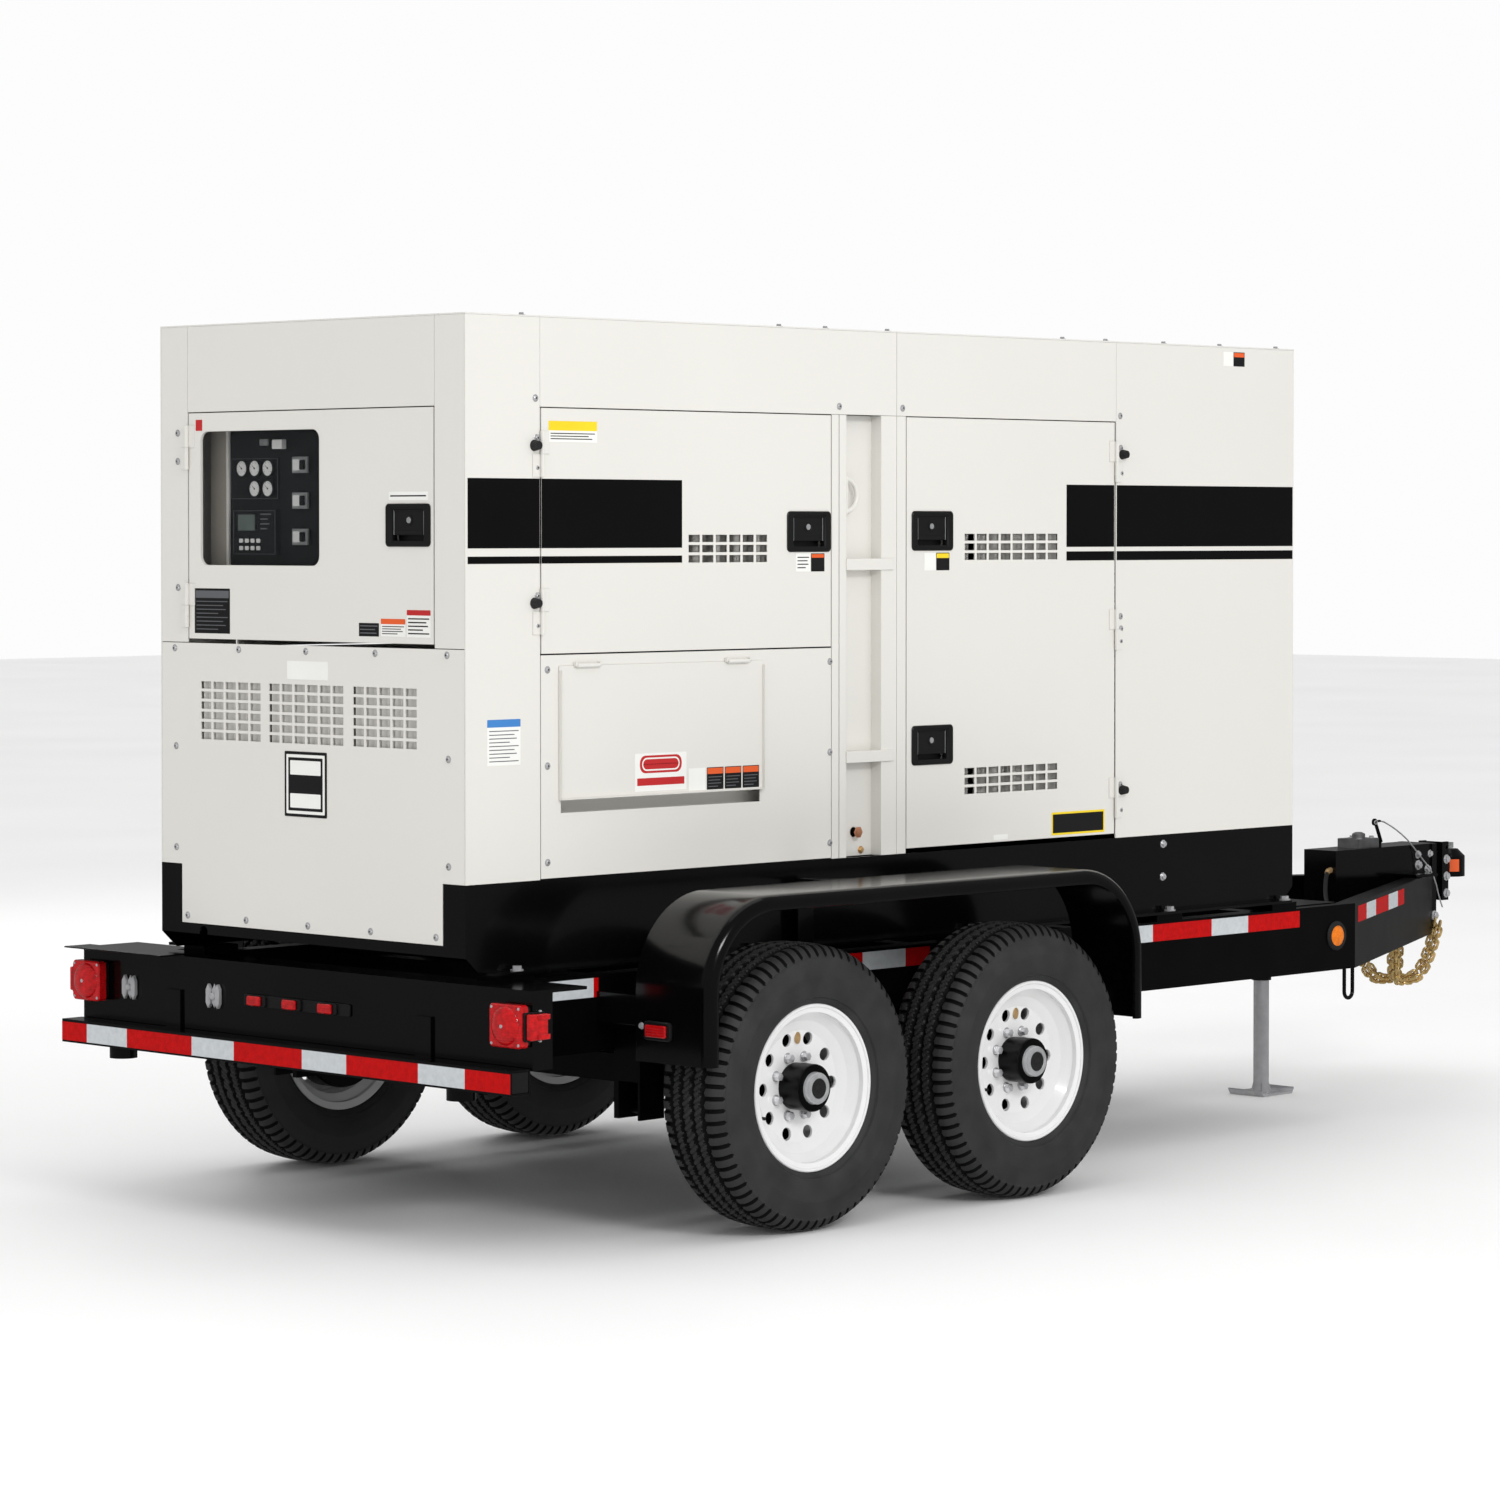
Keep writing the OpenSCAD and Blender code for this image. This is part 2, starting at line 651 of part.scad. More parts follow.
module front_grille_panel() {
    color(white) difference() {
        span([hx(house_l - sheet), sheet + 0.3 - half_w, base_top + 0.3], [hx(house_l), half_w - sheet - 0.3, roof_under]);
        for (k = [0 : 13]) span([hx(house_l - 10), -430, 1180 + 62 * k], [hx(house_l + 1), 430, 1210 + 62 * k]);
    }
    // Louvre blades over the slots
    color(white) for (k = [0 : 13])
        translate([hx(house_l - 0.5), -430, 1212 + 62 * k]) rotate([0, 60, 0]) cube([34, 860, 2]);
}

flap = [328, 1092, 1146, 1503];
flap_pin_z = flap[3] - 6;

module side_panels() {
    color(white) {
        // Fixed front panels
        both_sides() side_plate(2597, house_l, base_top + 0.3, roof_under);
        // Lower rear-bay panels; the right one has the cable opening
        side_plate(rear_post_x + 3, 1367, base_top + 3, bay_z - 4);
        mirror([0, 1, 0]) difference() {
            side_plate(rear_post_x + 3, 1367, base_top + 3, bay_z - 4);
            span([hx(flap[0]) + 8, half_w - 10, 1112], [hx(flap[1]) - 8, half_w + 1, flap[3] - 8]);
        }
    }
}

recess = [1429, 1572];
recess_d = 42;
step_z = [1220, 1757];

module side_columns() {
    color(white) both_sides() difference() {
        union() {
            side_plate(1401, recess[0], base_top + 0.3, header_z - 0.8);
            side_plate(recess[1], seam_x - 1, base_top + 0.3, header_z - 0.8);
            side_plate(seam_x + 0.8, 1674, base_top + 0.3, header_z - 0.8);
            translate([hx(recess[0]) - 3, half_w - recess_d, 0])
                span([0, 0, base_top + 0.3], [recess[1] - recess[0] + 6, 3, header_z - 0.8]);
            for (x = [recess[0] - 3, recess[1]]) span([hx(x), half_w - recess_d, base_top + 0.3], [hx(x + 3), half_w - 1, header_z - 0.8]);
            for (z = step_z) span([hx(recess[0]) - 2, half_w - recess_d, z - 16], [hx(1620), half_w - 0.2 + 4, z + 16]);
            span([hx(seam_x) - 60, half_w - 12, base_top + 0.3], [hx(seam_x) + 20, half_w - 3, header_z - 0.8]);
            // D-shaped grab handle, standing clear of the recess on two posts
            translate([hx(1445), half_w - 18, 1950]) rotate([90, 90, 0]) {
                rotate_extrude(angle = 180) translate([45, 0]) circle(r = 7);
                translate([-52, 0, 0]) rotate([0, 90, 0]) cylinder(r = 7, h = 104);
                for (u = [-45, 45]) translate([u, 0, 0]) cylinder(r = 6, h = 23);
            }
        }
        // Drain plug
        translate([hx(1500), half_w - 60, 1007]) rotate([-90, 0, 0]) cylinder(r = 14, h = 40);
    }
}

// ---------- doors ----------

// Half a hinge: knuckle tube or pin, and its leaf; the axis is the local z axis at y = 0.
// The leaf runs to +x, and the housing's face is at y = -hinge_out
module knuckle_half(z, leaf, bored) {
    translate([0, 0, z]) difference() {
        union() {
            cylinder(r = knuckle_r, h = knuckle_l, $fn = 32);
            span([0, -hinge_out - 0.4 * (bored ? 1 : 0), 0], [leaf, -hinge_out + 2.5, knuckle_l]);
        }
        if (bored) translate([0, 0, -1]) cylinder(r = pin_r + 0.05, h = knuckle_l + 2);
    }
}

// Door's half of each hinge, above the post's half
module door_knuckles(list) {
    for (z = list) knuckle_half(z + 0.3, 28, true);
}

module post_knuckles(list) {
    for (z = list) {
        mirror([1, 0, 0]) knuckle_half(z - knuckle_l, 30, false);
        translate([0, 0, z - 1]) cylinder(r = pin_r, h = knuckle_l + 1);
    }
}

// A tray-shaped door in the x-z plane, its outer face at y = 0 and its inside at -door_t
module door_tray(l, h) {
    difference() {
        span([0, -door_t, 0], [l, 0, h]);
        span([22, -door_t - 1, 22], [l - 22, -2.5, h - 22]);
    }
}

// Latch cup behind the door's skin, with the paddle's pin, from the cup's low corner
module cup_block() {
    span([-4, -cup_d - 4, -4], [cup_l + 4, -0.4, cup_h + 4]);
}

module cup_hollow() {
    span([4, -cup_d, 4], [cup_l - 4, 1, cup_h - 4]);
}

module cup_pin() {
    translate([3, -5, cup_h - 14]) rotate([0, 90, 0]) cylinder(r = 2.5, h = cup_l - 6);
}

module latch_paddle() {
    difference() {
        union() {
            translate([6, -5, cup_h - 14]) rotate([0, 90, 0]) cylinder(r = 5, h = cup_l - 12);
            span([6, -8, cup_h - 14 - paddle_h], [cup_l - 6, -2, cup_h - 14]);
            span([6, -14, cup_h - 14 - paddle_h], [cup_l - 6, -2, cup_h - 8 - paddle_h]);
        }
        translate([5, -5, cup_h - 14]) rotate([0, 90, 0]) cylinder(r = 2.55, h = cup_l - 10);
    }
}

cup_bay = [1194, 1795];
cup_engine_x = 1702;
cup_engine_z = [1190, 1797];
cup_control = [318, 1812];

// Places children, drawn with +y outwards, on the left (side 1) or right (side -1) face
module on_side(side) {
    mirror([0, side < 0 ? 1 : 0, 0]) translate([hx(0), half_w, 0]) children();
}

module bay_door_shape() {
    d = bay_door;
    hinge_x = rear_post_x + 3.3;
    color(white) difference() {
        union() {
            translate([d[0], 0, d[2]]) door_tray(d[1] - d[0], d[3] - d[2]);
            translate([hinge_x, hinge_out, 0]) door_knuckles(bay_hinges);
            translate([cup_bay[0], 0, cup_bay[1]]) cup_block();
        }
        translate([cup_bay[0], 0, cup_bay[1]]) cup_hollow();
        translate([809, -10, 1765]) vent_grid(6, 3, 12);
    }
    color(white) translate([cup_bay[0], 0, cup_bay[1]]) cup_pin();
}

module engine_door_shape() {
    d = engine_door;
    hinge_x = 2593.3;
    color(white) difference() {
        union() {
            translate([d[0], 0, d[2]]) door_tray(d[1] - d[0], d[3] - d[2]);
            translate([hinge_x, hinge_out, 0]) mirror([1, 0, 0]) door_knuckles(engine_hinges);
            for (z = cup_engine_z) translate([cup_engine_x, 0, z]) cup_block();
        }
        for (z = cup_engine_z) translate([cup_engine_x, 0, z]) cup_hollow();
        for (z = [1097, 1767]) translate([1924, -10, z]) vent_grid(8, 3, 12);
    }
    color(white) for (z = cup_engine_z) translate([cup_engine_x, 0, z]) cup_pin();
}

module door_left_rear() { on_side(1) bay_door_shape(); }
module door_right_rear() { on_side(-1) bay_door_shape(); }
module door_left_front() { on_side(1) engine_door_shape(); }
module door_right_front() { on_side(-1) engine_door_shape(); }

module latch_left_rear() { color(black) on_side(1) translate([cup_bay[0], 0, cup_bay[1]]) latch_paddle(); }
module latch_right_rear() { color(black) on_side(-1) translate([cup_bay[0], 0, cup_bay[1]]) latch_paddle(); }
module latch_engine(side, z) { color(black) on_side(side) translate([cup_engine_x, 0, z]) latch_paddle(); }
module latch_left_upper() { latch_engine(1, cup_engine_z[1]); }
module latch_left_lower() { latch_engine(1, cup_engine_z[0]); }
module latch_right_upper() { latch_engine(-1, cup_engine_z[1]); }
module latch_right_lower() { latch_engine(-1, cup_engine_z[0]); }

// The rear face: local x runs from the left edge of the housing to the right, +y outwards
module on_rear() {
    translate([hx(0), 0, 0]) rotate([0, 0, 90]) mirror([1, 0, 0]) children();
}

window = [50, 545, 1757, 2120];
rear_hinge_x = -control_half_w - 2.5;

module control_door() {
    color(white) on_rear() {
        difference() {
            union() {
                translate([-control_half_w, 0, control_z[0]])
                    door_tray(2 * control_half_w, control_z[1] - control_z[0]);
                translate([rear_hinge_x, hinge_out, 0]) door_knuckles(control_hinges);
                translate([cup_control[0], 0, cup_control[1]]) cup_block();
                // Frame around the window
                span([window[0] - 16 - control_half_w, -14, window[2] - 16],
                     [window[1] + 16 - control_half_w, -1, window[3] + 16]);
            }
            translate([cup_control[0], 0, cup_control[1]]) cup_hollow();
            span([window[0] - control_half_w, -20, window[2]], [window[1] - control_half_w, 1, window[3]]);
            span([window[0] - 8 - control_half_w, -20, window[2] - 8],
                 [window[1] + 8 - control_half_w, -9.8, window[3] + 8]);
        }
        translate([cup_control[0], 0, cup_control[1]]) cup_pin();
    }
}

module control_window() {
    color([0.5, 0.6, 0.65, 0.4]) on_rear()
        span([window[0] - 7.5 - control_half_w, -14, window[2] - 7.5],
             [window[1] + 7.5 - control_half_w, -10, window[3] + 7.5]);
}

module latch_control() {
    color(black) on_rear() translate([cup_control[0], 0, cup_control[1]]) latch_paddle();
}

// Post halves of all the hinges, with the rubber stops beside them
module door_hinges() {
    color(white) {
        for (side = [-1, 1]) on_side(side) {
            translate([rear_post_x + 3.3, hinge_out, 0]) post_knuckles(bay_hinges);
            translate([2593.3, hinge_out, 0]) mirror([1, 0, 0]) post_knuckles(engine_hinges);
        }
        on_rear() translate([rear_hinge_x, hinge_out, 0]) post_knuckles(control_hinges);
    }
    // Pins and lugs of the cable flap
    color(white) mirror([0, 1, 0]) for (x = [flap[0] + 60, flap[1] - 140]) {
        translate([hx(x) - 8, half_w + 7, flap_pin_z]) rotate([0, 90, 0]) cylinder(r = 3, h = 96);
        for (u = [-8, 80.3]) span([hx(x + u), half_w, flap_pin_z + 0.5], [hx(x + u) + 7.7, half_w + 11, flap_pin_z + 9]);
    }
    color(black) for (side = [-1, 1]) on_side(side) {
        for (z = bay_hinges) translate([rear_post_x - 20, 0, z + 22]) rotate([-90, 0, 0]) cylinder(r1 = 15, r2 = 11, h = 20);
        for (z = [engine_hinges[0], engine_hinges[2]])
            translate([2625, 0, z + 22]) rotate([-90, 0, 0]) cylinder(r1 = 15, r2 = 11, h = 20);
    }
}

module cable_flap() {
    color(white) mirror([0, 1, 0]) difference() {
        union() {
            span([hx(flap[0]), half_w + 1, flap[2]], [hx(flap[1]), half_w + 3, flap_pin_z]);
            span([hx(flap[0]), half_w + 1, flap[2]], [hx(flap[1]), half_w + 14, flap[2] + 2]);
            for (x = [flap[0], flap[1] - 2]) span([hx(x), half_w + 1, flap[2]], [hx(x + 2), half_w + 12, flap_pin_z - 12]);
            translate([hx(flap[0]) + 60, half_w + 7, flap_pin_z]) rotate([0, 90, 0]) cylinder(r = 6, h = 80);
            translate([hx(flap[1]) - 140, half_w + 7, flap_pin_z]) rotate([0, 90, 0]) cylinder(r = 6, h = 80);
        }
        translate([hx(flap[0]) + 50, half_w + 7, flap_pin_z]) rotate([0, 90, 0]) cylinder(r = 3.05, h = 700);
    }
}

// ---------- machinery inside ----------

module engine() {
    color([0.35, 0.36, 0.37]) {
        difference() {
            union() {
                span([hx(1660), -230, 1040], [hx(2560), 230, 1430]);
                span([hx(1700), -160, 1430], [hx(2520), 160, 1600]);
                span([hx(1800), -190, 945], [hx(2450), 190, 1040]);
                translate([hx(1610), 0, 1200]) rotate([0, 90, 0]) cylinder(r = 250, h = 60);
            }
            span([hx(1690), -200, 960], [hx(2530), 200, 1395]);
            span([hx(1720), -140, 1380], [hx(2500), 140, 1575]);
        }
        translate([hx(2519), 0, fan_z]) rotate([0, 90, 0]) cylinder(r = 22, h = 366);
        // Bracket that carries the air cleaner
        span([hx(1990), -240, 1590], [hx(2040), -150, 1600]);
        span([hx(1990), -240, 1599], [hx(2040), -232, 1769]);
        translate([hx(2560), 0, 1200]) rotate([0, 90, 0]) cylinder(r = 110, h = 40);
        // Feet on the floor beams
        both_sides() for (x = [1720, 2420]) span([hx(x), 229, 1090], [hx(x) + 90, 320, 1106]);
        both_sides() for (x = [1720, 2420]) span([hx(x), 292, base_top - 2], [hx(x) + 90, 320, 1091]);
        for (k = [0 : 5]) translate([hx(1790 + 130 * k), 232, 1520]) rotate([-70, 0, 0]) cylinder(r = 20, h = 60);
    }
}

module alternator() {
    color([0.3, 0.31, 0.33]) {
        difference() {
            union() {
                translate([hx(900), 0, 1240]) rotate([0, 90, 0]) cylinder(r = 265, h = 660);
                span([hx(960), -190, base_top - 2], [hx(1500), 190, 1050]);
                span([hx(960), -330, base_top - 2], [hx(1500), 330, base_top + 20]);
                span([hx(980), -180, 1480], [hx(1420), 180, 1600]);
            }
            translate([hx(920), 0, 1240]) rotate([0, 90, 0]) cylinder(r = 215, h = 620);
            span([hx(970), -170, base_top - 4], [hx(1490), 170, 1010]);
        }
        translate([hx(880), 0, 1240]) rotate([0, 90, 0]) cylinder(r = 150, h = 729);
    }
}

fan_x = hx(2830);
fan_z = 1500;

module radiator() {
    color([0.25, 0.26, 0.27]) {
        difference() {
            span([hx(2960), -500, 1010], [hx(3060), 500, 2020]);
            span([hx(2950), -450, 1070], [hx(3070), 450, 1960]);
        }
        for (k = [0 : 20]) span([hx(2970), -450, 1085 + 42 * k], [hx(3050), 450, 1091 + 42 * k]);
        for (y = [-300 : 150 : 300]) span([hx(2985), y - 8, 1070], [hx(3035), y + 8, 1960]);
        both_sides() span([hx(2975), 292, base_top - 2], [hx(3045), 328, 1011]);
    }
}

module cooling_fan() {
    color([0.12, 0.12, 0.12]) translate([fan_x, 0, fan_z]) rotate([0, 90, 0]) {
        difference() {
            cylinder(r = 70, h = 70);
            translate([0, 0, -1]) cylinder(r = 22.05, h = 60);
        }
        for (k = [0 : 6]) rotate([0, 0, 360 / 7 * k]) translate([60, -48, 30]) rotate([22, 0, 0]) cube([310, 96, 5]);
    }
}

module muffler() {
    color([0.5, 0.48, 0.45]) {
        translate([hx(1750), 300, 2120]) rotate([0, 90, 0]) difference() {
            cylinder(r = 130, h = 820);
            translate([0, 0, 5]) cylinder(r = 125, h = 810);
        }
        for (x = [1850, 2430]) span([hx(x), 285, 2240], [hx(x) + 30, 315, roof_under]);
        difference() {
            translate([hx(2250), 300, 2230]) cylinder(r = 50, h = house_top - 2230 + 6);
            translate([hx(2250), 300, 2240]) cylinder(r = 46, h = 200);
        }
    }
}

module air_cleaner() {
    color([0.15, 0.15, 0.16]) translate([hx(1800), -230, 1900]) rotate([0, 90, 0]) difference() {
        union() {
            cylinder(r = 130, h = 460);
            translate([0, 0, 430]) cylinder(r = 138, h = 24);
        }
        translate([0, 0, 8]) cylinder(r = 122, h = 440);
    }
}

module battery() {
    color([0.1, 0.1, 0.1]) for (y = [-520, -340]) {
        span([hx(2640), y, base_top - 1.8], [hx(2900), y + 170, 1160]);
        for (x = [2680, 2860]) translate([hx(x), y + 85, 1159]) cylinder(r = 9, h = 16);
    }
}

// The control panel is drawn on the rear face, behind the window
panel_x = [90, 500];
panel_z = [1700, 2150];
panel_y = 70;

module control_panel() {
    color([0.12, 0.13, 0.14]) on_rear() {
        difference() {
            span([panel_x[0] - control_half_w, -panel_y - 180, panel_z[0]], [panel_x[1] - control_half_w, -panel_y, panel_z[1]]);
            span([panel_x[0] + 4 - control_half_w, -panel_y - 190, panel_z[0] + 4],
                 [panel_x[1] - 4 - control_half_w, -panel_y - 4, panel_z[1] - 4]);
        }
        // Gauge and controller plates
        span([102 - control_half_w, -panel_y - 1, 1935], [300 - control_half_w, -panel_y + 4, 2048]);
        span([121 - control_half_w, -panel_y - 1, 1785], [300 - control_half_w, -panel_y + 14, 1907]);
        for (k = [0 : 3], m = [0, 1])
            translate([150 + 24 * k - control_half_w, -panel_y + 13, 1798 + 20 * m]) cube([16, 4, 11]);
        for (z = [1834, 1931, 2027]) span([366 - control_half_w, -panel_y - 1, z - 20], [426 - control_half_w, -panel_y + 12, z + 20]);
        for (g = [[154, 2019], [208, 2019], [263, 2019], [208, 1964], [263, 1964]])
            translate([g[0] - control_half_w, -panel_y + 3.5, g[1]]) rotate([-90, 0, 0]) cylinder(r = 22, h = 8);
    }
    // Brackets to the door posts
    color([0.12, 0.13, 0.14]) on_rear() for (z = [1720, 2110])
        span([panel_x[1] - control_half_w, -panel_y - 30, z], [half_w - sheet - 0.3, -panel_y - 26, z + 30]);
}

module output_terminals() {
    color([0.2, 0.2, 0.22]) mirror([0, 1, 0]) {
        span([hx(380), half_w - 110, 1190], [hx(1060), half_w - 90, 1510]);
        for (x = [400, 1020]) span([hx(x), half_w - 91, 1500], [hx(x) + 20, half_w - sheet - 0.3, 1510]);
        for (k = [0 : 4]) translate([hx(450 + 130 * k), half_w - 91, 1380]) rotate([-90, 0, 0]) cylinder(r = 26, h = 40);
        for (k = [0 : 3]) span([hx(430 + 150 * k), half_w - 91, 1210], [hx(520 + 150 * k), half_w - 60, 1290]);
    }
}

main_rails();
tongue_rails();
cross_members();
rear_beam();
rear_bumper();
fender_right();
fender_left();
axles();
leaf_springs();
lamps();
jack_tube();
jack_leg();
jack_crank();
actuator_housing();
master_cylinder();
coupler();
coupler_latch();
breakaway_lever();
breakaway_cable();
safety_chains();
tyre_right_rear();
tyre_right_front();
tyre_left_rear();
tyre_left_front();
wheel_right_rear();
wheel_right_front();
wheel_left_rear();
wheel_left_front();
base_skid();
fuel_tank();
canopy_frame();
roof_panels();
rear_grille_panel();
front_grille_panel();
side_panels();
side_columns();
door_hinges();
control_door();
control_window();
door_right_rear();
door_right_front();
door_left_rear();
door_left_front();
cable_flap();
latch_control();
latch_right_rear();
latch_right_upper();
latch_right_lower();
latch_left_rear();
latch_left_upper();
latch_left_lower();
engine();
alternator();
radiator();
cooling_fan();
muffler();
air_cleaner();
battery();
control_panel();
output_terminals();
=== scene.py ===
import math

import bpy
import numpy as np
from mathutils import Matrix, Vector


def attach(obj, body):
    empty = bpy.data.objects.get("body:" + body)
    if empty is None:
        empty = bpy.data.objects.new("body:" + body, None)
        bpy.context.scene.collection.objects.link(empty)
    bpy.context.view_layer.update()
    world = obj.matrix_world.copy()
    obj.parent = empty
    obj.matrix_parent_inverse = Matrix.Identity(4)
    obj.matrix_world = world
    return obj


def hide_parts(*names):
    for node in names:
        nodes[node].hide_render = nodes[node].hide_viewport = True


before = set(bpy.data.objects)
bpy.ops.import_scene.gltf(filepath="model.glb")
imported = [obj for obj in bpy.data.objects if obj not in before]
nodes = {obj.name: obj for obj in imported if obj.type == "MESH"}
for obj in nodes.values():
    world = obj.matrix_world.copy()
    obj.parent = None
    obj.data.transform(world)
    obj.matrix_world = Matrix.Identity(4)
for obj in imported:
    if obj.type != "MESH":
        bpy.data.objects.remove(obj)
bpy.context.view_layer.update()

MM = 0.001
# Distance from the origin back to the housing's rear face, and the housing's half width
REAR = 2534.0
HALF = 620.0
REAR_AXLE, FRONT_AXLE = 853, 1731
WHEELS = {"right_rear": (-1, REAR_AXLE), "right_front": (-1, FRONT_AXLE),
          "left_rear": (1, REAR_AXLE), "left_front": (1, FRONT_AXLE)}
TYRE_Y, TYRE_R = 945.5, 382.0
# Distances from the housing's rear face forwards, or backwards for the beam and the bumper
JACK_X, TONGUE_X, COUPLER_X = 4090.0, 3737.0, 5132.0
BEAM_BACK, BUMPER_BACK = 42.0, 118.0
FENDER_REAR, FENDER_FRONT = 434.0, 2192.0
# Half widths over the rails, the rear beam, the actuator's box and the fenders
RAIL_Y, BEAM_Y, ACTUATOR_Y, FENDER_Y = 646.0, 915.0, 66.0, 1068.0
NUT_CIRCLE = 82.55
INCH = 25.4


# ---------- camera, light and floor ----------

def make_camera():
    data = bpy.data.cameras.new("camera")
    data.lens, data.sensor_width, data.shift_y = 112.213, 36.0, -0.0731
    data.clip_start, data.clip_end = 0.1, 200.0
    camera = bpy.data.objects.new("camera", data)
    camera.location = (-10.6036, -9.4991, 1.852)
    yaw, pitch = math.radians(44.25), math.radians(-1.35)
    aim = Vector((math.cos(yaw) * math.cos(pitch), math.sin(yaw) * math.cos(pitch), math.sin(pitch)))
    camera.rotation_mode = "QUATERNION"
    camera.rotation_quaternion = aim.to_track_quat("-Z", "Y")
    bpy.context.scene.collection.objects.link(camera)
    bpy.context.scene.camera = camera


def area_light(name, place, target, size, power):
    data = bpy.data.lights.new(name, "AREA")
    data.shape, data.size, data.size_y = "RECTANGLE", size[0], size[1]
    data.energy = power
    lamp = bpy.data.objects.new(name, data)
    lamp.location = place
    lamp.rotation_mode = "QUATERNION"
    lamp.rotation_quaternion = (Vector(target) - Vector(place)).to_track_quat("-Z", "Y")
    bpy.context.scene.collection.objects.link(lamp)


# ---------- materials ----------

ROUGH_VARY = 0.15


def linear(c):
    return tuple(((v + 0.055) / 1.055) ** 2.4 if v > 0.04045 else v / 12.92 for v in c)


def rgb(r, g, b):
    return linear((r / 255, g / 255, b / 255))


def material(name, colour, rough, vary=0.04, patch=6.0, bump=0.02, grain=700.0, edge=0.0,
             pattern=None, **sockets):
    """A painted, moulded or metal surface: patchy colour, patchy roughness and a fine bump."""
    m = bpy.data.materials.new(name)
    m.use_nodes = True
    tree, shader = m.node_tree, m.node_tree.nodes["Principled BSDF"]
    new, link = tree.nodes.new, tree.links.new
    for key, value in sockets.items():
        shader.inputs[key.replace("_", " ")].default_value = value
    place = new("ShaderNodeTexCoord").outputs["Object"]
    patches = new("ShaderNodeTexNoise")
    patches.inputs["Scale"].default_value = patch
    patches.inputs["Detail"].default_value = 6.0
    link(place, patches.inputs["Vector"])
    ramp = new("ShaderNodeValToRGB")
    low, high = ramp.color_ramp.elements
    low.position, high.position = 0.3, 0.7
    low.color = (*[c * (1 - vary) for c in colour], 1)
    high.color = (*[min(1, c * (1 + vary)) for c in colour], 1)
    link(patches.outputs["Fac"], ramp.inputs["Fac"])
    link(ramp.outputs["Color"], shader.inputs["Base Color"])
    spread = new("ShaderNodeMapRange")
    spread.inputs["To Min"].default_value = rough * (1 - ROUGH_VARY)
    spread.inputs["To Max"].default_value = min(1, rough * (1 + ROUGH_VARY))
    link(patches.outputs["Fac"], spread.inputs["Value"])
    link(spread.outputs["Result"], shader.inputs["Roughness"])
    if pattern == "prism":
        fine = new("ShaderNodeTexVoronoi")
        fine.inputs["Scale"].default_value = grain
        height = fine.outputs["Distance"]
    elif pattern == "ribs":
        fine = new("ShaderNodeTexWave")
        fine.inputs["Scale"].default_value = grain
        fine.bands_direction = "Z"
        height = fine.outputs["Fac"]
    else:
        fine = new("ShaderNodeTexNoise")
        fine.inputs["Scale"].default_value = grain
        fine.inputs["Detail"].default_value = 3.0
        height = fine.outputs["Fac"]
    link(place, fine.inputs["Vector"])
    bumps = new("ShaderNodeBump")
    bumps.inputs["Strength"].default_value = bump
    bumps.inputs["Distance"].default_value = 0.002
    link(height, bumps.inputs["Height"])
    if edge:
        rounded = new("ShaderNodeBevel")
        rounded.samples = 4
        rounded.inputs["Radius"].default_value = edge
        link(rounded.outputs["Normal"], bumps.inputs["Normal"])
    link(bumps.outputs["Normal"], shader.inputs["Normal"])
    return m


WHITE = material("white_paint", rgb(226, 224, 218), 0.36, vary=0.012, patch=1.3, bump=0.012, edge=0.0016,
                 Coat_Weight=0.25, Coat_Roughness=0.2)
BLACK = material("black_paint", (0.0016, 0.0016, 0.0018), 0.16, vary=0.25, patch=3.0, bump=0.015,
                 grain=260.0, edge=0.002, Specular_IOR_Level=0.32, Coat_Weight=0.1, Coat_Roughness=0.05)
CHASSIS = material("chassis_black", (0.0016, 0.0016, 0.0018), 0.3, vary=0.3, patch=9.0, bump=0.05,
                   grain=180.0, Specular_IOR_Level=0.14)
WHEEL_WHITE = material("wheel_white", rgb(236, 236, 236), 0.22, vary=0.02, bump=0.01, edge=0.003,
                       Coat_Weight=0.5)
RUBBER = material("tyre_rubber", (0.03, 0.03, 0.031), 0.62, vary=0.18, patch=14.0, bump=0.12, grain=900.0)
# Darker copy of the tyre rubber for the groove floors: painted shade in the tread's recesses
GROOVE_SHADE = material("tyre_groove_shade", (0.006, 0.006, 0.0062), 0.8, vary=0.2, bump=0.1, Specular_IOR_Level=0.15)
PLASTIC = material("black_plastic", (0.008, 0.008, 0.0085), 0.36, vary=0.12, bump=0.06, grain=1400.0,
                   Specular_IOR_Level=0.45)
SOFT_RUBBER = material("stop_rubber", (0.015, 0.015, 0.016), 0.7, vary=0.2, bump=0.1, grain=900.0)
CHROME = material("plated_steel", (0.74, 0.74, 0.76), 0.16, vary=0.08, patch=40.0, bump=0.03, grain=500.0,
                  Metallic=0.62)
STEEL = material("bare_steel", (0.52, 0.53, 0.54), 0.34, vary=0.15, patch=30.0, bump=0.06, grain=300.0,
                 Metallic=0.6)
SILVER = material("hub_silver", (0.6, 0.61, 0.62), 0.3, vary=0.12, patch=40.0, bump=0.1, grain=350.0,
                  Metallic=0.55)
CAST = material("cast_metal", (0.34, 0.34, 0.35), 0.5, vary=0.2, patch=30.0, bump=0.3, grain=350.0,
                Metallic=0.9)
ZINC = material("yellow_zinc", (0.78, 0.56, 0.24), 0.26, vary=0.3, patch=60.0, bump=0.05, grain=400.0,
                Metallic=0.6)
BRASS = material("brass", (0.7, 0.46, 0.22), 0.3, vary=0.15, patch=50.0, bump=0.05, grain=400.0,
                 Metallic=0.6)
COPPER = material("copper_plug", (0.66, 0.3, 0.17), 0.32, vary=0.2, patch=60.0, bump=0.05, grain=400.0,
                  Metallic=0.6)
RED_LENS = material("red_lens", (0.5, 0.004, 0.006), 0.08, vary=0.3, patch=70.0, bump=0.35, grain=45.0,
                    pattern="ribs", Coat_Weight=1.0, Coat_Roughness=0.03)
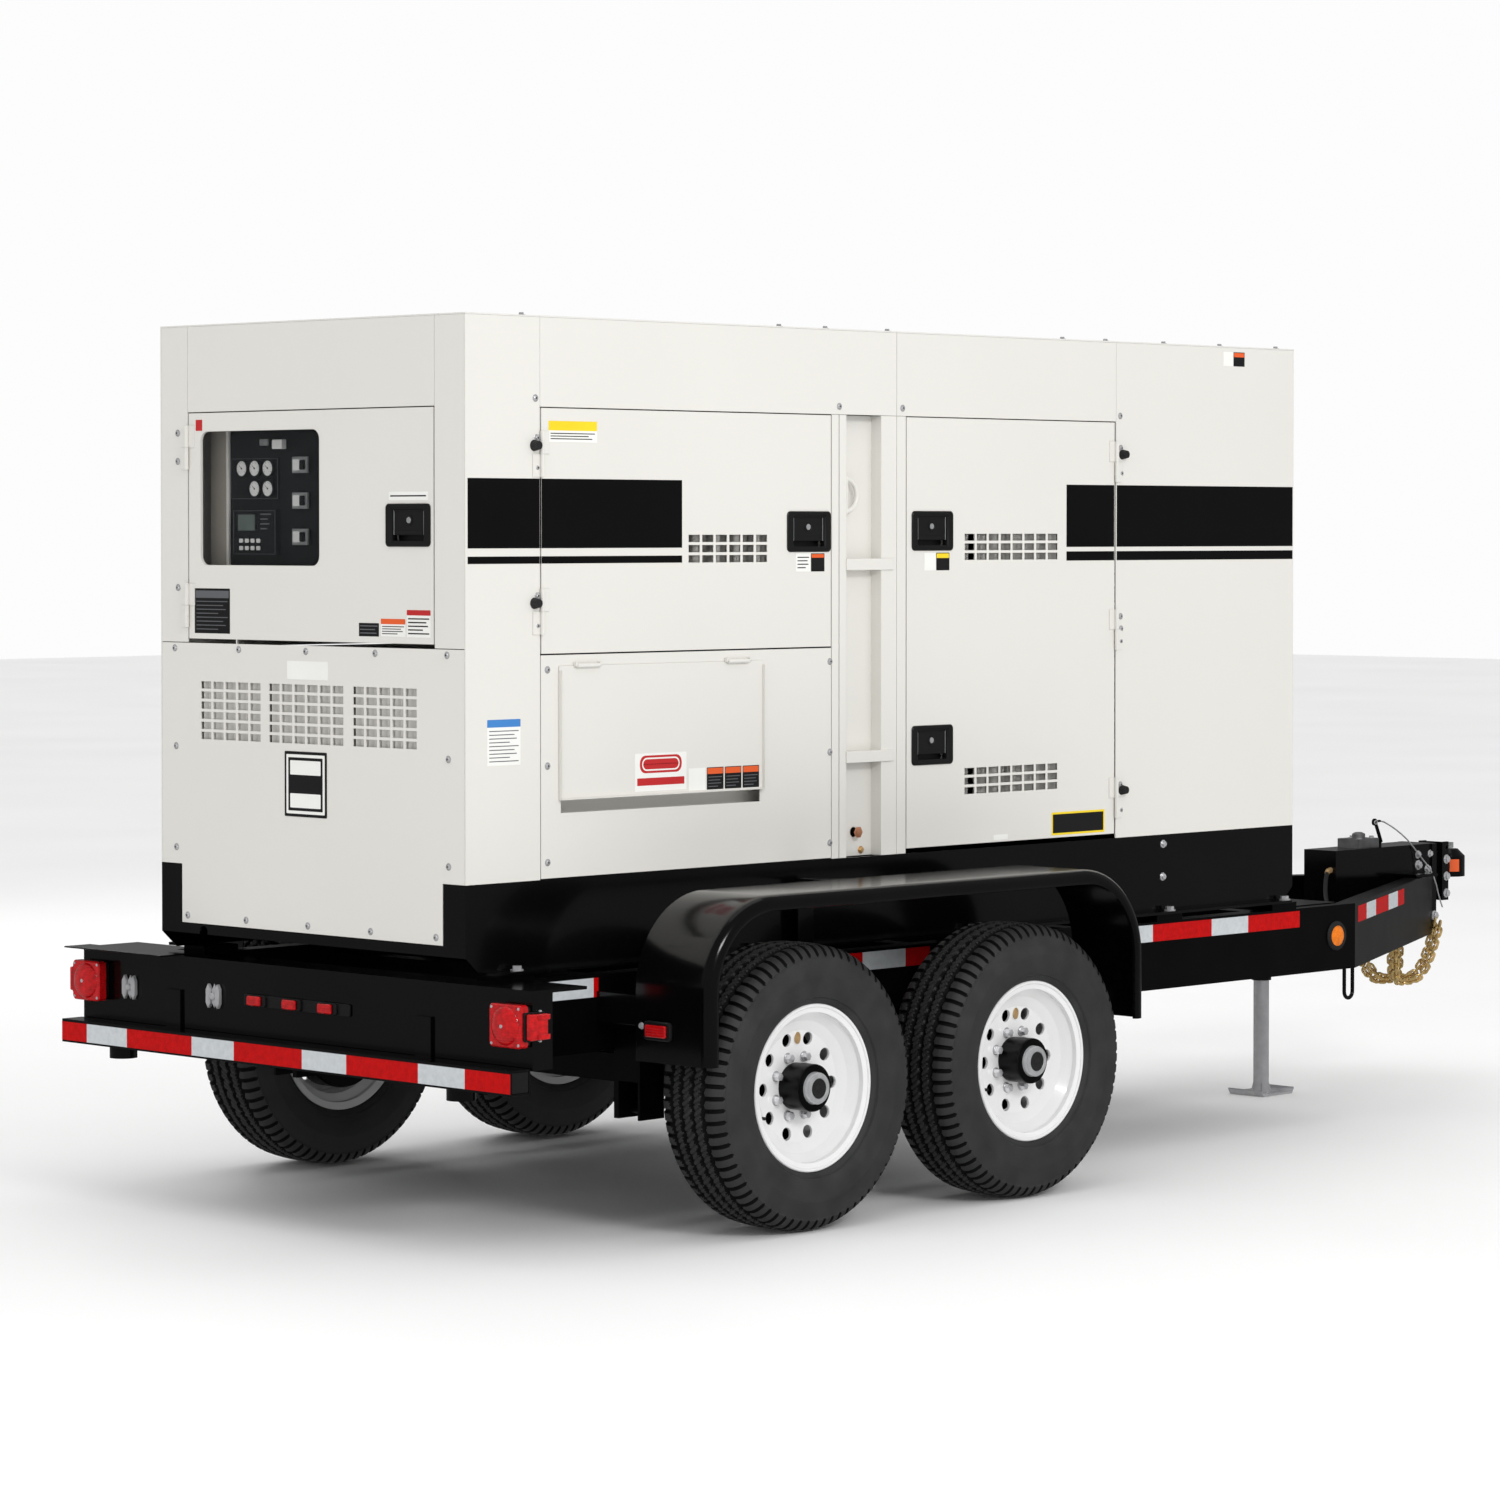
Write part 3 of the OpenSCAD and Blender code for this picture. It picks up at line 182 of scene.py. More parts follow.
AMBER_LENS = material("amber_lens", (0.85, 0.2, 0.006), 0.1, vary=0.2, patch=60.0, bump=0.3, grain=60.0,
                      pattern="ribs", Coat_Weight=1.0, Coat_Roughness=0.03)
TAPE_RED = material("tape_red", (0.5, 0.0008, 0.0012), 0.4, vary=0.14, patch=60.0, bump=0.2, grain=170.0,
                    pattern="prism", Specular_IOR_Level=0.1)
TAPE_WHITE = material("tape_white", rgb(198, 203, 206), 0.3, vary=0.07, patch=60.0, bump=0.25, grain=170.0,
                      pattern="prism", Specular_IOR_Level=0.3)
VINYL = material("black_vinyl", (0.0032, 0.0032, 0.0036), 0.4, vary=0.1, bump=0.02, Specular_IOR_Level=0.18)
INK = material("label_ink", (0.012, 0.012, 0.013), 0.45, vary=0.1, bump=0.02, Specular_IOR_Level=0.3)
PAPER = material("label_white", rgb(240, 240, 236), 0.4, vary=0.02, bump=0.02)
YELLOW = material("label_yellow", rgb(246, 214, 20), 0.4, vary=0.05, bump=0.02)
ORANGE = material("label_orange", rgb(232, 92, 30), 0.4, vary=0.05, bump=0.02)
RED = material("label_red", rgb(196, 30, 34), 0.4, vary=0.05, bump=0.02)
BLUE = material("label_blue", rgb(60, 130, 200), 0.4, vary=0.05, bump=0.02)
GREY = material("label_grey", rgb(120, 122, 126), 0.4, vary=0.05, bump=0.02, Metallic=0.4)
PANEL = material("panel_black", (0.010, 0.011, 0.013), 0.5, vary=0.15, bump=0.1, grain=1200.0,
                 Specular_IOR_Level=0.3)
# A darker beige copy of the white paint: painted shade on the compartment's inner side wall
PAINTED_SHADE = material("painted_shade_wall", rgb(176, 170, 160), 0.5, vary=0.06, patch=2.0, bump=0.02)
DIAL = material("dial_white", rgb(236, 237, 234), 0.35, vary=0.02, bump=0.01, Coat_Weight=0.6)
SCREEN = material("screen_glass", rgb(96, 108, 104), 0.08, vary=0.2, patch=20.0, bump=0.01, Coat_Weight=1.0)
GLASS = material("window_clear", (0.03, 0.034, 0.036), 0.03, vary=0.0, bump=0.002, Alpha=0.14)
IRON = material("engine_iron", (0.1, 0.11, 0.12), 0.5, vary=0.12, patch=12.0, bump=0.3, grain=120.0,
                Metallic=0.3)
TANK = material("tank_steel", (0.012, 0.012, 0.013), 0.4, vary=0.2, patch=5.0, bump=0.05, grain=250.0)
FINS = material("radiator_metal", (0.09, 0.09, 0.1), 0.45, vary=0.2, patch=20.0, bump=0.4, grain=90.0,
                pattern="ribs", Metallic=0.6)
HEAT = material("muffler_steel", (0.32, 0.27, 0.22), 0.45, vary=0.35, patch=8.0, bump=0.15, grain=200.0,
                Metallic=0.9)
FAN = material("fan_plastic", (0.02, 0.02, 0.02), 0.4, vary=0.1, bump=0.06)
CASE = material("battery_case", (0.012, 0.012, 0.013), 0.45, vary=0.12, bump=0.1)
FOAM = material("acoustic_foam", (0.03, 0.03, 0.031), 0.95, vary=0.3, patch=40.0, bump=0.6, grain=160.0)
FLOOR = material("floor", (0.98, 0.98, 0.98), 0.7, vary=0.01, patch=0.5, bump=0.01, grain=60.0)

CAD_LOOKS = {
    CHASSIS: ["main_rails", "tongue_rails", "cross_members", "axles", "leaf_springs"],
    BLACK: ["rear_beam", "rear_bumper", "fender_right", "fender_left", "jack_tube", "actuator_housing",
            "coupler", "breakaway_lever", "base_skid"],
    WHITE: ["canopy_frame", "roof_panels", "rear_grille_panel", "front_grille_panel", "side_panels",
            "side_columns", "door_hinges", "control_door", "door_right_rear", "door_right_front",
            "door_left_rear", "door_left_front", "cable_flap"],
    PLASTIC: ["latch_control", "latch_right_rear", "latch_right_upper", "latch_right_lower",
              "latch_left_rear", "latch_left_upper", "latch_left_lower", "output_terminals", "lamps"],
    CHROME: ["jack_leg"], STEEL: ["jack_crank", "coupler_latch", "breakaway_cable"],
    CAST: ["master_cylinder"], TANK: ["fuel_tank"], GLASS: ["control_window"], ZINC: ["safety_chains"],
    RUBBER: ["tyre_" + key for key in WHEELS], IRON: ["engine", "alternator"], FINS: ["radiator"],
    FAN: ["cooling_fan", "air_cleaner"], HEAT: ["muffler"], CASE: ["battery"], PANEL: ["control_panel"],
}


def set_looks(node, looks, choose=None):
    """Gives a CAD node its materials; choose(centres, normals) picks one for each face."""
    mesh = nodes[node].data
    mesh.materials.clear()
    for look in looks:
        mesh.materials.append(look)
    picked = np.zeros(len(mesh.polygons), np.int32)
    if choose:
        centres, normals = np.zeros(len(picked) * 3), np.zeros(len(picked) * 3)
        mesh.polygons.foreach_get("center", centres)
        mesh.polygons.foreach_get("normal", normals)
        picked = choose(centres.reshape(-1, 3) / MM, normals.reshape(-1, 3)).astype(np.int32)
    mesh.polygons.foreach_set("material_index", picked)
    mesh.update()


# ---------- shape building, in millimetres ----------

def frame_at(origin, u, v, w):
    return Matrix([[u[k], v[k], w[k], origin[k]] for k in range(3)] + [[0, 0, 0, 1]])


# Faces of the housing: u and v lie in the face, w points out of it.
# On the sides u is the distance from the rear face; on the ends u runs towards -y or +y.
WORLD = frame_at((-REAR, 0, 0), (1, 0, 0), (0, 1, 0), (0, 0, 1))
RIGHT = frame_at((-REAR, -HALF, 0), (1, 0, 0), (0, 0, 1), (0, -1, 0))
LEFT = frame_at((-REAR, HALF, 0), (1, 0, 0), (0, 0, 1), (0, 1, 0))
BACK = frame_at((-REAR, 0, 0), (0, -1, 0), (0, 0, 1), (-1, 0, 0))
SIDES = {"right": RIGHT, "left": LEFT}


def rounded(u0, v0, u1, v1, r=0.0, steps=4):
    """Outline of a rectangle with rounded corners, anticlockwise."""
    if r <= 0:
        return [(u0, v0), (u1, v0), (u1, v1), (u0, v1)]
    points = []
    corners = ((u1 - r, v0 + r, -90), (u1 - r, v1 - r, 0), (u0 + r, v1 - r, 90), (u0 + r, v0 + r, 180))
    for cu, cv, start in corners:
        for k in range(steps + 1):
            a = math.radians(start + 90 * k / steps)
            points.append((cu + r * math.cos(a), cv + r * math.sin(a)))
    return points


def circle(steps):
    """Angles evenly spaced around a full turn."""
    return np.linspace(0, math.tau, steps, endpoint=False)


def inset(outline, d):
    """The outline moved inwards by d at every edge."""
    result = []
    n = len(outline)
    for k in range(n):
        a, b, c = (Vector(outline[(k + s) % n]) for s in (-1, 0, 1))
        e, f = (b - a).normalized(), (c - b).normalized()
        normal = Vector((-(e.y + f.y), e.x + f.x))
        normal.normalize()
        share = max(0.3, normal.dot(Vector((-f.y, f.x))))
        result.append(tuple(b + normal * (d / share)))
    return result


class Shape:
    """Collects parts of one piece. Each part picks one of the piece's materials by index."""

    def __init__(self):
        self.points, self.faces, self.looks = [], [], []

    def loft(self, place, rings, look=0, caps=True):
        """Joins closed rings of equal length in order."""
        flip = place.to_3x3().determinant() < 0
        start, n = len(self.points), len(rings[0])
        for ring in rings:
            self.points += [tuple((place @ Vector(p)) * MM) for p in ring]
        made = []
        for i in range(len(rings) - 1):
            for k in range(n):
                a, b = start + i * n + k, start + i * n + (k + 1) % n
                made.append((a, b, b + n, a + n))
        if caps:
            made.append(tuple(range(start + n - 1, start - 1, -1)))
            last = start + (len(rings) - 1) * n
            made.append(tuple(range(last, last + n)))
        self.faces += [tuple(reversed(f)) for f in made] if flip else made
        self.looks += [look] * len(made)
        return self

    def prism(self, place, outline, low, high, chamfer=0.0, look=0):
        small = inset(outline, chamfer) if chamfer else outline
        steps = [(outline, low), (outline, high)]
        if chamfer:
            steps = [(small, low), (outline, low + chamfer), (outline, high - chamfer), (small, high)]
        return self.loft(place, [[(u, v, w) for u, v in ring] for ring, w in steps], look)

    def box(self, place, low, high, chamfer=1.0, look=0):
        return self.prism(place, rounded(low[0], low[1], high[0], high[1]), low[2], high[2], chamfer, look)

    def label(self, place, u0, v0, u1, v1, look, level=0, r=1.5):
        """A thin film on the face; a higher level lies on top of a lower one."""
        low = 0.15 + 0.12 * level
        return self.prism(place, rounded(u0, v0, u1, v1, r, 3), low, 0.35 + 0.12 * level, 0.0, look)

    def turn(self, place, centre, profile, sides=32, look=0):
        """Turned about the frame's w axis through centre; the profile is (radius, w) pairs, rising in w."""
        rings = [[(centre[0] + r * math.cos(math.tau * k / sides),
                   centre[1] + r * math.sin(math.tau * k / sides), centre[2] + w)
                  for k in range(sides)] for r, w in profile]
        return self.loft(place, rings, look)

    def bolt(self, place, u, v, w=0.0, r=7.0, look=0):
        """A hexagon head with a chamfer on a washer."""
        self.turn(place, (u, v, w), [(r * 1.55, 0), (r * 1.55, r * 0.16), (r * 1.45, r * 0.24)], 20, look)
        head = [(r * 1.12, 0), (r * 1.15, r * 0.1), (r * 1.15, r * 0.75), (r * 0.98, r * 0.9)]
        return self.turn(place, (u, v, w + r * 0.2), head, 6, look)

    def screw(self, place, u, v, r=6.5, look=0, recess_shade=1):
        """A domed panel screw with a washer; its driver recess is a dark hexagon film on the dome, painted
        shade in place of a hollow.
        """
        washer = [(r * 1.5, 0), (r * 1.5, 1.0), (r * 1.35, 1.5), (r * 0.95, 1.6)]
        self.turn(place, (u, v, 0.1), washer, 20, look)
        self.turn(place, (u, v, 1.5), [(r * 0.95, 0), (r * 0.85, 2.4), (r * 0.5, 3.6)], 20, look)
        return self.turn(place, (u, v, 5.0), [(r * 0.45, 0), (r * 0.42, 0.25)], 6, recess_shade)

    def tube(self, place, path, r, sides=12, look=0, closed=False):
        """A round bar along the path; a closed path joins its own start."""
        points = [Vector(p) for p in path]
        n = len(points)
        rings, normal = [], None
        for i in range(n):
            a = points[(i - 1) % n] if closed or i else points[0]
            b = points[(i + 1) % n] if closed or i < n - 1 else points[-1]
            t = (b - a).normalized()
            if normal is None:
                normal = t.orthogonal().normalized()
            normal = (normal - t * normal.dot(t)).normalized()
            other = t.cross(normal)
            rings.append([tuple(points[i] + (normal * math.cos(a) + other * math.sin(a)) * r)
                          for a in (math.tau * k / sides for k in range(sides))])
        if closed:
            rings.append(rings[0])
        return self.loft(place, rings, look, caps=not closed)

    def make(self, name, body, looks, replaces=()):
        """Turns the collected parts into one piece that rides on its body."""
        mesh = bpy.data.meshes.new(name)
        mesh.from_pydata(self.points, [], self.faces)
        for look in looks:
            mesh.materials.append(look)
        mesh.polygons.foreach_set("material_index", np.array(self.looks, np.int32))
        mesh.polygons.foreach_set("use_smooth", np.ones(len(self.faces), bool))
        mesh.update()
        mesh.set_sharp_from_angle(angle=math.radians(35))
        piece = bpy.data.objects.new(name, mesh)
        bpy.context.scene.collection.objects.link(piece)
        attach(piece, body)
        if replaces:
            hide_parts(*replaces)
        return piece


# ---------- wheels ----------

def tyre(name, side, x):
    """A trailer tyre: lofted carcass with tread grooves, sipes, shoulder blocks and plain raised rings."""
    around = 576
    carcass = [(207, 80), (221.5, 87), (224, 95), (232, 101.5), (238, 102.5), (241, 108.5), (250, 112),
               (268, 115.4), (290, 117.2), (296, 118.2), (299, 118.2), (303, 117.2), (322, 115.5),
               (338, 111.5), (346, 109.6), (349, 110.4), (352, 108.6), (358, 104.5), (364, 99.5),
               (369, 94), (373, 87.5)]
    crown = list(np.linspace(82, 0, 24, endpoint=False))
    profile = carcass + [(380.8 - 5.0 * (w / 82) ** 2.2, w) for w in crown]
    profile += [(r, -w) for r, w in reversed(profile)]
    profile = np.array(profile)
    lateral = profile[:, 1]
    radius = profile[:, 0]
    angle = np.arange(around) * math.tau / around
    pitch = 72
    phase = (angle * pitch / math.tau)[:, None]
    saw = 2 * np.abs((phase % 1) - 0.5)
    depth = np.zeros((around, len(profile)))
    on_crown = (radius > 374)[None, :]
    for centre, width in ((-57, 5.4), (-20, 5.0), (20, 5.0), (57, 5.4)):
        zig = centre + (saw - 0.5) * 7
        groove = np.clip(1.6 - np.abs(lateral[None, :] - zig) / width, 0, 1)
        depth = np.maximum(depth, 9.0 * groove * on_crown)
    shoulder = (np.abs(lateral)[None, :] > 61) & (radius[None, :] > 345)
    fade = np.clip((radius[None, :] - 345) / 14, 0, 1)
    notch = ((phase + 0.2 * np.sign(lateral)[None, :]) % 1) < 0.25
    depth = np.maximum(depth, 8.0 * shoulder * fade * notch)
    ribs = on_crown & (np.abs(lateral)[None, :] < 53)
    slant = (phase * 2 + lateral[None, :] / 26) % 1
    depth = np.maximum(depth, 4.5 * ribs * (slant < 0.25))
    r = radius[None, :] - depth
    xs = x - REAR + r * np.cos(angle)[:, None]
    zs = TYRE_R + r * np.sin(angle)[:, None]
    ys = np.broadcast_to(side * (TYRE_Y + lateral[None, :]), xs.shape)
    points = (np.stack([xs, ys, zs], -1) * MM).reshape(-1, 3)
    n = len(profile)
    i, k = np.meshgrid(np.arange(around), np.arange(n), indexing="ij")
    j, m = (i + 1) % around, (k + 1) % n
    faces = np.stack([i * n + k, i * n + m, j * n + m, j * n + k], -1).reshape(-1, 4)
    if side > 0:
        faces = faces[:, ::-1]
    mesh = bpy.data.meshes.new(name)
    mesh.from_pydata(points.tolist(), [], faces.tolist())
    mesh.materials.append(RUBBER)
    mesh.materials.append(GROOVE_SHADE)
    # Faces deep in the grooves, sipes and notches take the darker rubber: painted shade in the recesses
    groove_shade_faces = (depth[i, k] + depth[i, m] + depth[j, m] + depth[j, k]).reshape(-1) > 9.0
    mesh.polygons.foreach_set("material_index", groove_shade_faces.astype(np.int32))
    mesh.polygons.foreach_set("use_smooth", np.ones(len(faces), bool))
    mesh.update()
    mesh.set_sharp_from_angle(angle=math.radians(32))
    piece = bpy.data.objects.new(name, mesh)
    bpy.context.scene.collection.objects.link(piece)
    return piece


def wheel_look(side, x):
    def choose(centres, normals):
        p = centres - np.array([x - REAR, side * TYRE_Y, TYRE_R])
        r, h = np.hypot(p[:, 0], p[:, 2]), p[:, 1] * side
        hub = (r < 64.5) | ((r < 105) & (h < 20.8) & (h > -3)) | ((r < 156) & (h < -38))
        nut = (h > 41) | ((np.abs(normals[:, 1]) < 0.3) & (h > 20.6))
        nut &= (r > 70) & (r < 96)
        cap = (r < 43) & (h > 98.5)
        return np.where(nut, 2, np.where(cap, 3, np.where(hub, 1, 0)))
    return choose


for key, (side, x) in WHEELS.items():
    body = "wheel_" + key
    carcass = tyre("tyre_tread_" + key, side, x)
    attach(carcass, body)
    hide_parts("tyre_" + key)
    out = frame_at((x - REAR, side * TYRE_Y, TYRE_R), (1, 0, 0), (0, 0, 1), (0, side, 0))
    s = Shape()
    # Rolled lip and the beads of the rim
    beads = ((217.6, 92, 5.2), (210.5, 84.7, 2.4), (203.0, 77, 3.4), (190.0, 62, 3.0), (176.0, 46, 4.0))
    for rr, ww, t in beads:
        s.tube(out, [(rr * math.cos(a), rr * math.sin(a), ww) for a in circle(96)], t, 10, 0, closed=True)
    for k in range(8):
        a = math.radians(45 * k + 22.5)
        u, v = NUT_CIRCLE * math.cos(a), NUT_CIRCLE * math.sin(a)
        s.turn(out, (u, v, 28), [(15, 0), (14.5, 3.5), (12, 5)], 24, 1)
        s.turn(out, (u, v, 33), [(11.8, 0), (12.2, 1), (12.2, 12), (10.4, 15.5), (5, 17.5)], 6, 1)
    # Hub barrel with its grease cap and rubber plug
    s.turn(out, (0, 0, 60), [(63.2, 0), (63.2, 34), (61, 37), (57, 38.6), (44, 39)], 48, 2)
    s.turn(out, (0, 0, 98), [(44, 0), (43, 1.5), (42.2, 3), (42.2, 14), (40.5, 17), (37, 18.2), (28, 18.2),
                             (26.5, 16.6)], 48, 3)
    plug = [(26.5, 0), (26, 2.8), (22, 3.4), (18, 1.9), (10, 1.9), (8, 3.4), (3, 3.8)]
    s.turn(out, (0, 0, 113.8), plug, 40, 4)
    # Valve stem
    a = math.radians(200)
    stem = (192 * math.cos(a), 192 * math.sin(a))
    s.turn(out, (*stem, 62), [(8, 0), (7, 10), (4.6, 14), (4.4, 30), (3.4, 31)], 16, 4)
    # Blank oval sticker on the disc
    oval = [(11 * math.cos(t), 128 + 16 * math.sin(t)) for t in circle(24)]
    s.prism(out, oval, 37.2, 38.2, 0.0, 5)
    s.make("wheel_fittings_" + key, body, [WHEEL_WHITE, CHROME, CHASSIS, SILVER, SOFT_RUBBER, BRASS])


# ---------- CAD nodes' finishes ----------

for look, names in CAD_LOOKS.items():
    for name in names:
        set_looks(name, [look])
for key, (side, x) in WHEELS.items():
    set_looks("wheel_" + key, [WHEEL_WHITE, CHASSIS, CHROME, SILVER], wheel_look(side, x))


def rubber_stops(centres, normals):
    """Picks out the round stops beside the hinges from the hinges themselves."""
    chosen = np.zeros(len(centres), bool)
    for x, z in ((242, 1662), (242, 2072), (2625, 1082), (2625, 2076)):
        near = np.hypot(centres[:, 0] + REAR - x, centres[:, 2] - z) < 15.6
        chosen |= near & (np.abs(centres[:, 1]) > HALF - 1)
    return chosen


set_looks("door_hinges", [WHITE, SOFT_RUBBER], rubber_stops)
set_looks("side_columns", [WHITE, COPPER],
          lambda c, n: ((np.abs(c[:, 0] + REAR - 1500) < 15) & (np.abs(c[:, 2] - 1007) < 15)))
# The bolt heads on the skid's foot flange
set_looks("base_skid", [BLACK, CHROME],
          lambda c, n: (c[:, 2] > 714.2) & (c[:, 2] < 740) & (np.abs(c[:, 1]) > HALF + 3))
# The lifting eye
set_looks("roof_panels", [WHITE, STEEL],
          lambda c, n: (np.abs(c[:, 0] + REAR - 1590) < 30) & (np.abs(c[:, 1]) < 47))


# ---------- retroreflective tape ----------

def tape(shape, place, start, v, inches, red_first):
    """Alternate red and white lengths of 2 inch tape along u from start; lengths in inches."""
    u, red = start, red_first
    for length in inches:
        end = u + length * INCH
        outline = rounded(u + 0.2, v - INCH, end - 0.2, v + INCH)
        shape.prism(place, outline, 0.1, 0.6, 0.0, 0 if red else 1)
        u, red = end, not red


s = Shape()
bumper = frame_at((-REAR - BUMPER_BACK, 0, 0), (0, -1, 0), (0, 0, 1), (-1, 0, 0))
tape(s, bumper, -915, 463, [4.37, 7, 11, 7, 11, 7, 11, 7, 6.67], True)
for side, sign in (("right", -1), ("left", 1)):
    rail = frame_at((-REAR, sign * RAIL_Y, 0), (1, 0, 0), (0, 0, 1), (0, sign, 0))
    tape(s, rail, 185, 650, [2.6, 7, 0.7], True)
    tape(s, rail, 1290, 650, [7, 7, 4], True)
    tape(s, rail, 2562, 650, [7, 11, 7, 10.1], False)
    angle = math.atan2(572, 1198)
    along = (math.cos(angle), -sign * math.sin(angle), 0)
    outwards = (math.sin(angle), sign * math.cos(angle), 0)
    tongue = frame_at((-REAR + TONGUE_X, sign * RAIL_Y, 0), along, (0, 0, 1), outwards)
    tape(s, tongue, 46, 645, [5.4, 6, 8.3, 6.2, 4.3], True)
s.make("reflective_tape", "frame", [TAPE_RED, TAPE_WHITE])


# ---------- lamps ----------

s = Shape()
lamp = frame_at((-REAR - BEAM_BACK, 0, 0), (0, -1, 0), (0, 0, 1), (-1, 0, 0))
for sign in (-1, 1):
    side = frame_at((-REAR - BEAM_BACK, sign * BEAM_Y, 0), (1, 0, 0), (0, 0, 1), (0, sign, 0))
    u0, u1 = sorted((sign * 796, sign * 915))
    # Tail lamp: black back, red lens block with a domed round face and corner screws
    s.prism(lamp, rounded(u0 + 6, 553, u1 - 6, 653, 6), 0.2, 14, 1.5, 2)
    s.prism(lamp, rounded(u0, 548, u1, 658, 12), 12, 40, 3, 0)
    cu = (u0 + u1) / 2
    s.turn(lamp, (cu, 603, 39), [(50, 0), (49, 3), (44, 7.5), (34, 11), (20, 13.4), (6, 14.2)], 40, 0)
    s.turn(lamp, (cu, 603, 48), [(5, 0), (5, 6.6), (3, 7)], 12, 3)
    for du in (-50, 50):
        for dv in (-46, 46):
            s.turn(lamp, (cu + du, 603 + dv, 39), [(4, 0), (4, 1.6), (2.5, 2.2)], 12, 3)
    # Side reflector on its bracket
    s.prism(side, rounded(-34, 566, 36, 640, 4), 0.2, 8, 1, 2)
    s.prism(side, rounded(-30, 570, 32, 636, 5), 8, 26, 3, 0)
    for dz in (-25, 25):
        s.prism(side, rounded(-6, 603 + dz - 7, 36, 603 + dz + 7, 3), 8, 29.5, 2, 0)
    for dz in (-36, 36):
        s.turn(side, (22, 603 + dz, 2), [(5, 0), (5, 5), (3, 6)], 12, 3)
    # Round amber marker in a rubber grommet
    marker = frame_at((-REAR, sign * RAIL_Y, 0), (1, 0, 0), (0, 0, 1), (0, sign, 0))
    s.turn(marker, (3639, 587, 0.1), [(46, 0), (46, 3), (42, 8), (36, 9.4), (34, 7)], 48, 4)
    s.turn(marker, (3639, 587, 4), [(33, 0), (32, 3), (24, 6), (10, 7.4)], 40, 1)
    # Amber marker ahead of the fender
    s.turn(marker, (2232, 552, 0.1), [(21, 0), (21, 46), (19, 50)], 32, 2)
    s.turn(marker, (2232, 552, 49), [(18, 0), (17, 6), (10, 9.5), (4, 10.4)], 32, 1)
    # Rear marker low on the fender's rear face, in its black bezel with a mounting bolt
    u0, u1 = sorted((sign * 838, sign * 938))
    fender = frame_at((-REAR + FENDER_REAR, 0, 0), (0, -1, 0), (0, 0, 1), (-1, 0, 0))
    s.prism(fender, rounded(u0, 528, u1, 578, 12), 0.2, 12, 3, 2)
    s.prism(fender, rounded(u0 + 12, 537, u1 - 12, 569, 5), 11, 19.5, 3, 0)
    s.bolt(fender, (u1 + 16) if sign < 0 else (u0 - 16), 562, 0.2, 6, 3)
# Row of three identification lamps
s.prism(lamp, rounded(-212, 577, 220, 609, 5), 0.2, 6, 1, 2)
for y in (155, 10, -135):
    s.prism(lamp, rounded(-y - 38, 577, -y + 38, 609, 7), 5, 13, 2, 2)
    s.prism(lamp, rounded(-y - 30, 580, -y + 24, 606, 5), 12, 21.5, 3, 0)
# Chromed licence lamps
for y in (701, 337):
    for c, w in ((-y - 19, 15), (-y, 8), (-y + 19, 15)):
        outline = [(c - 9, 574), (c, 560), (c + 9, 574), (c + 9, 612), (c, 626), (c - 9, 612)]
        s.prism(lamp, outline, 0.2, w, 3, 3)
    s.turn(lamp, (-y, 593, 7), [(10, 0), (10, 7), (7, 10)], 20, 3)
s.make("marker_and_tail_lamps", "frame", [RED_LENS, AMBER_LENS, PLASTIC, CHROME, SOFT_RUBBER],
       ["lamps"])


# ---------- screws and bolts ----------

s = Shape()
rear_screws = [(-y, 1530) for y in (560, 287, 9, -270, -550)]
rear_screws += [(-y, z) for y in (555, -555) for z in (1262, 985)]
rear_screws += [(-y, 800) for y in (507, 259, 3, -250, -506)] + [(-545, 2117), (-545, 2040), (-545, 1695)]
for u, v in rear_screws:
    s.screw(BACK, u, v)
for place in (RIGHT, LEFT):
    for u, v in ((246, 2195), (1400, 2195), (1660, 2195), (2615, 2190),
                 (252, 2092), (252, 2014), (253, 1681), (253, 1603),
                 (2618, 2095), (2620, 2020), (2618, 1597), (2620, 1560),
                 (2618, 1523), (2618, 1098), (2620, 1022),
                 (288, 1488), (288, 1237), (288, 985), (1362, 1488), (1362, 1237), (1362, 985)):
        s.screw(place, u, v)
    for u, v in ((2819, 912), (2817, 814)):
        s.bolt(place, u, v, 0, 8, 0)
# The label ink also serves as the painted shade in the screws' driver recesses
s.make("panel_screws", "frame", [CHROME, INK])

s = Shape()
for u in (219, 1183, 1368, 1622, 2379, 2575, 2845, 3113, 3389):
    for y in (-HALF + 24, HALF - 24):
        s.turn(WORLD, (u, y, 2410), [(11, 0), (11, 1.6), (8, 2)], 20, 0)
        s.turn(WORLD, (u, y, 2411.5), [(6.6, 0), (6.6, 5), (5, 6)], 6, 0)
s.make("roof_bolts", "frame", [CHROME])


# ---------- vinyl stripes and labels ----------

def stripes(place, name, bay_body, engine_body):
    """A wide and a thin black stripe, in one piece for each panel that they cross."""
    for label, body, u0, u1 in (("post", "frame", 8, 261), ("bay", bay_body, 268, 784)):
        s = Shape()
        s.label(place, u0, 1805, u1, 1986, 0, 0, 0.5)
        s.label(place, u0, 1765, u1, 1784, 0, 0, 0.5)
        # The vinyl goes round the door's rear edge
        if label == "bay":
            for low, high in ((1805, 1986), (1765, 1784)):
                s.prism(place, rounded(266.8, low, 266.98, high), -19.5, 0.3)
        s.make(f"stripe_{name}_{label}", body, [VINYL])
    for label, body, u0, u1 in (("engine", engine_body, 2371, 2588), ("front", "frame", 2600, 3446)):
        s = Shape()
        s.label(place, u0, 1803, u1, 1985, 0, 0, 0.5)
        s.label(place, u0, 1763, u1, 1790, 0, 0, 0.5)
        s.make(f"stripe_{name}_{label}", body, [VINYL])


LABEL_LOOKS = [PAPER, INK, YELLOW, ORANGE, RED, BLUE, GREY]
P, K, Y, O, R, B, G = range(7)


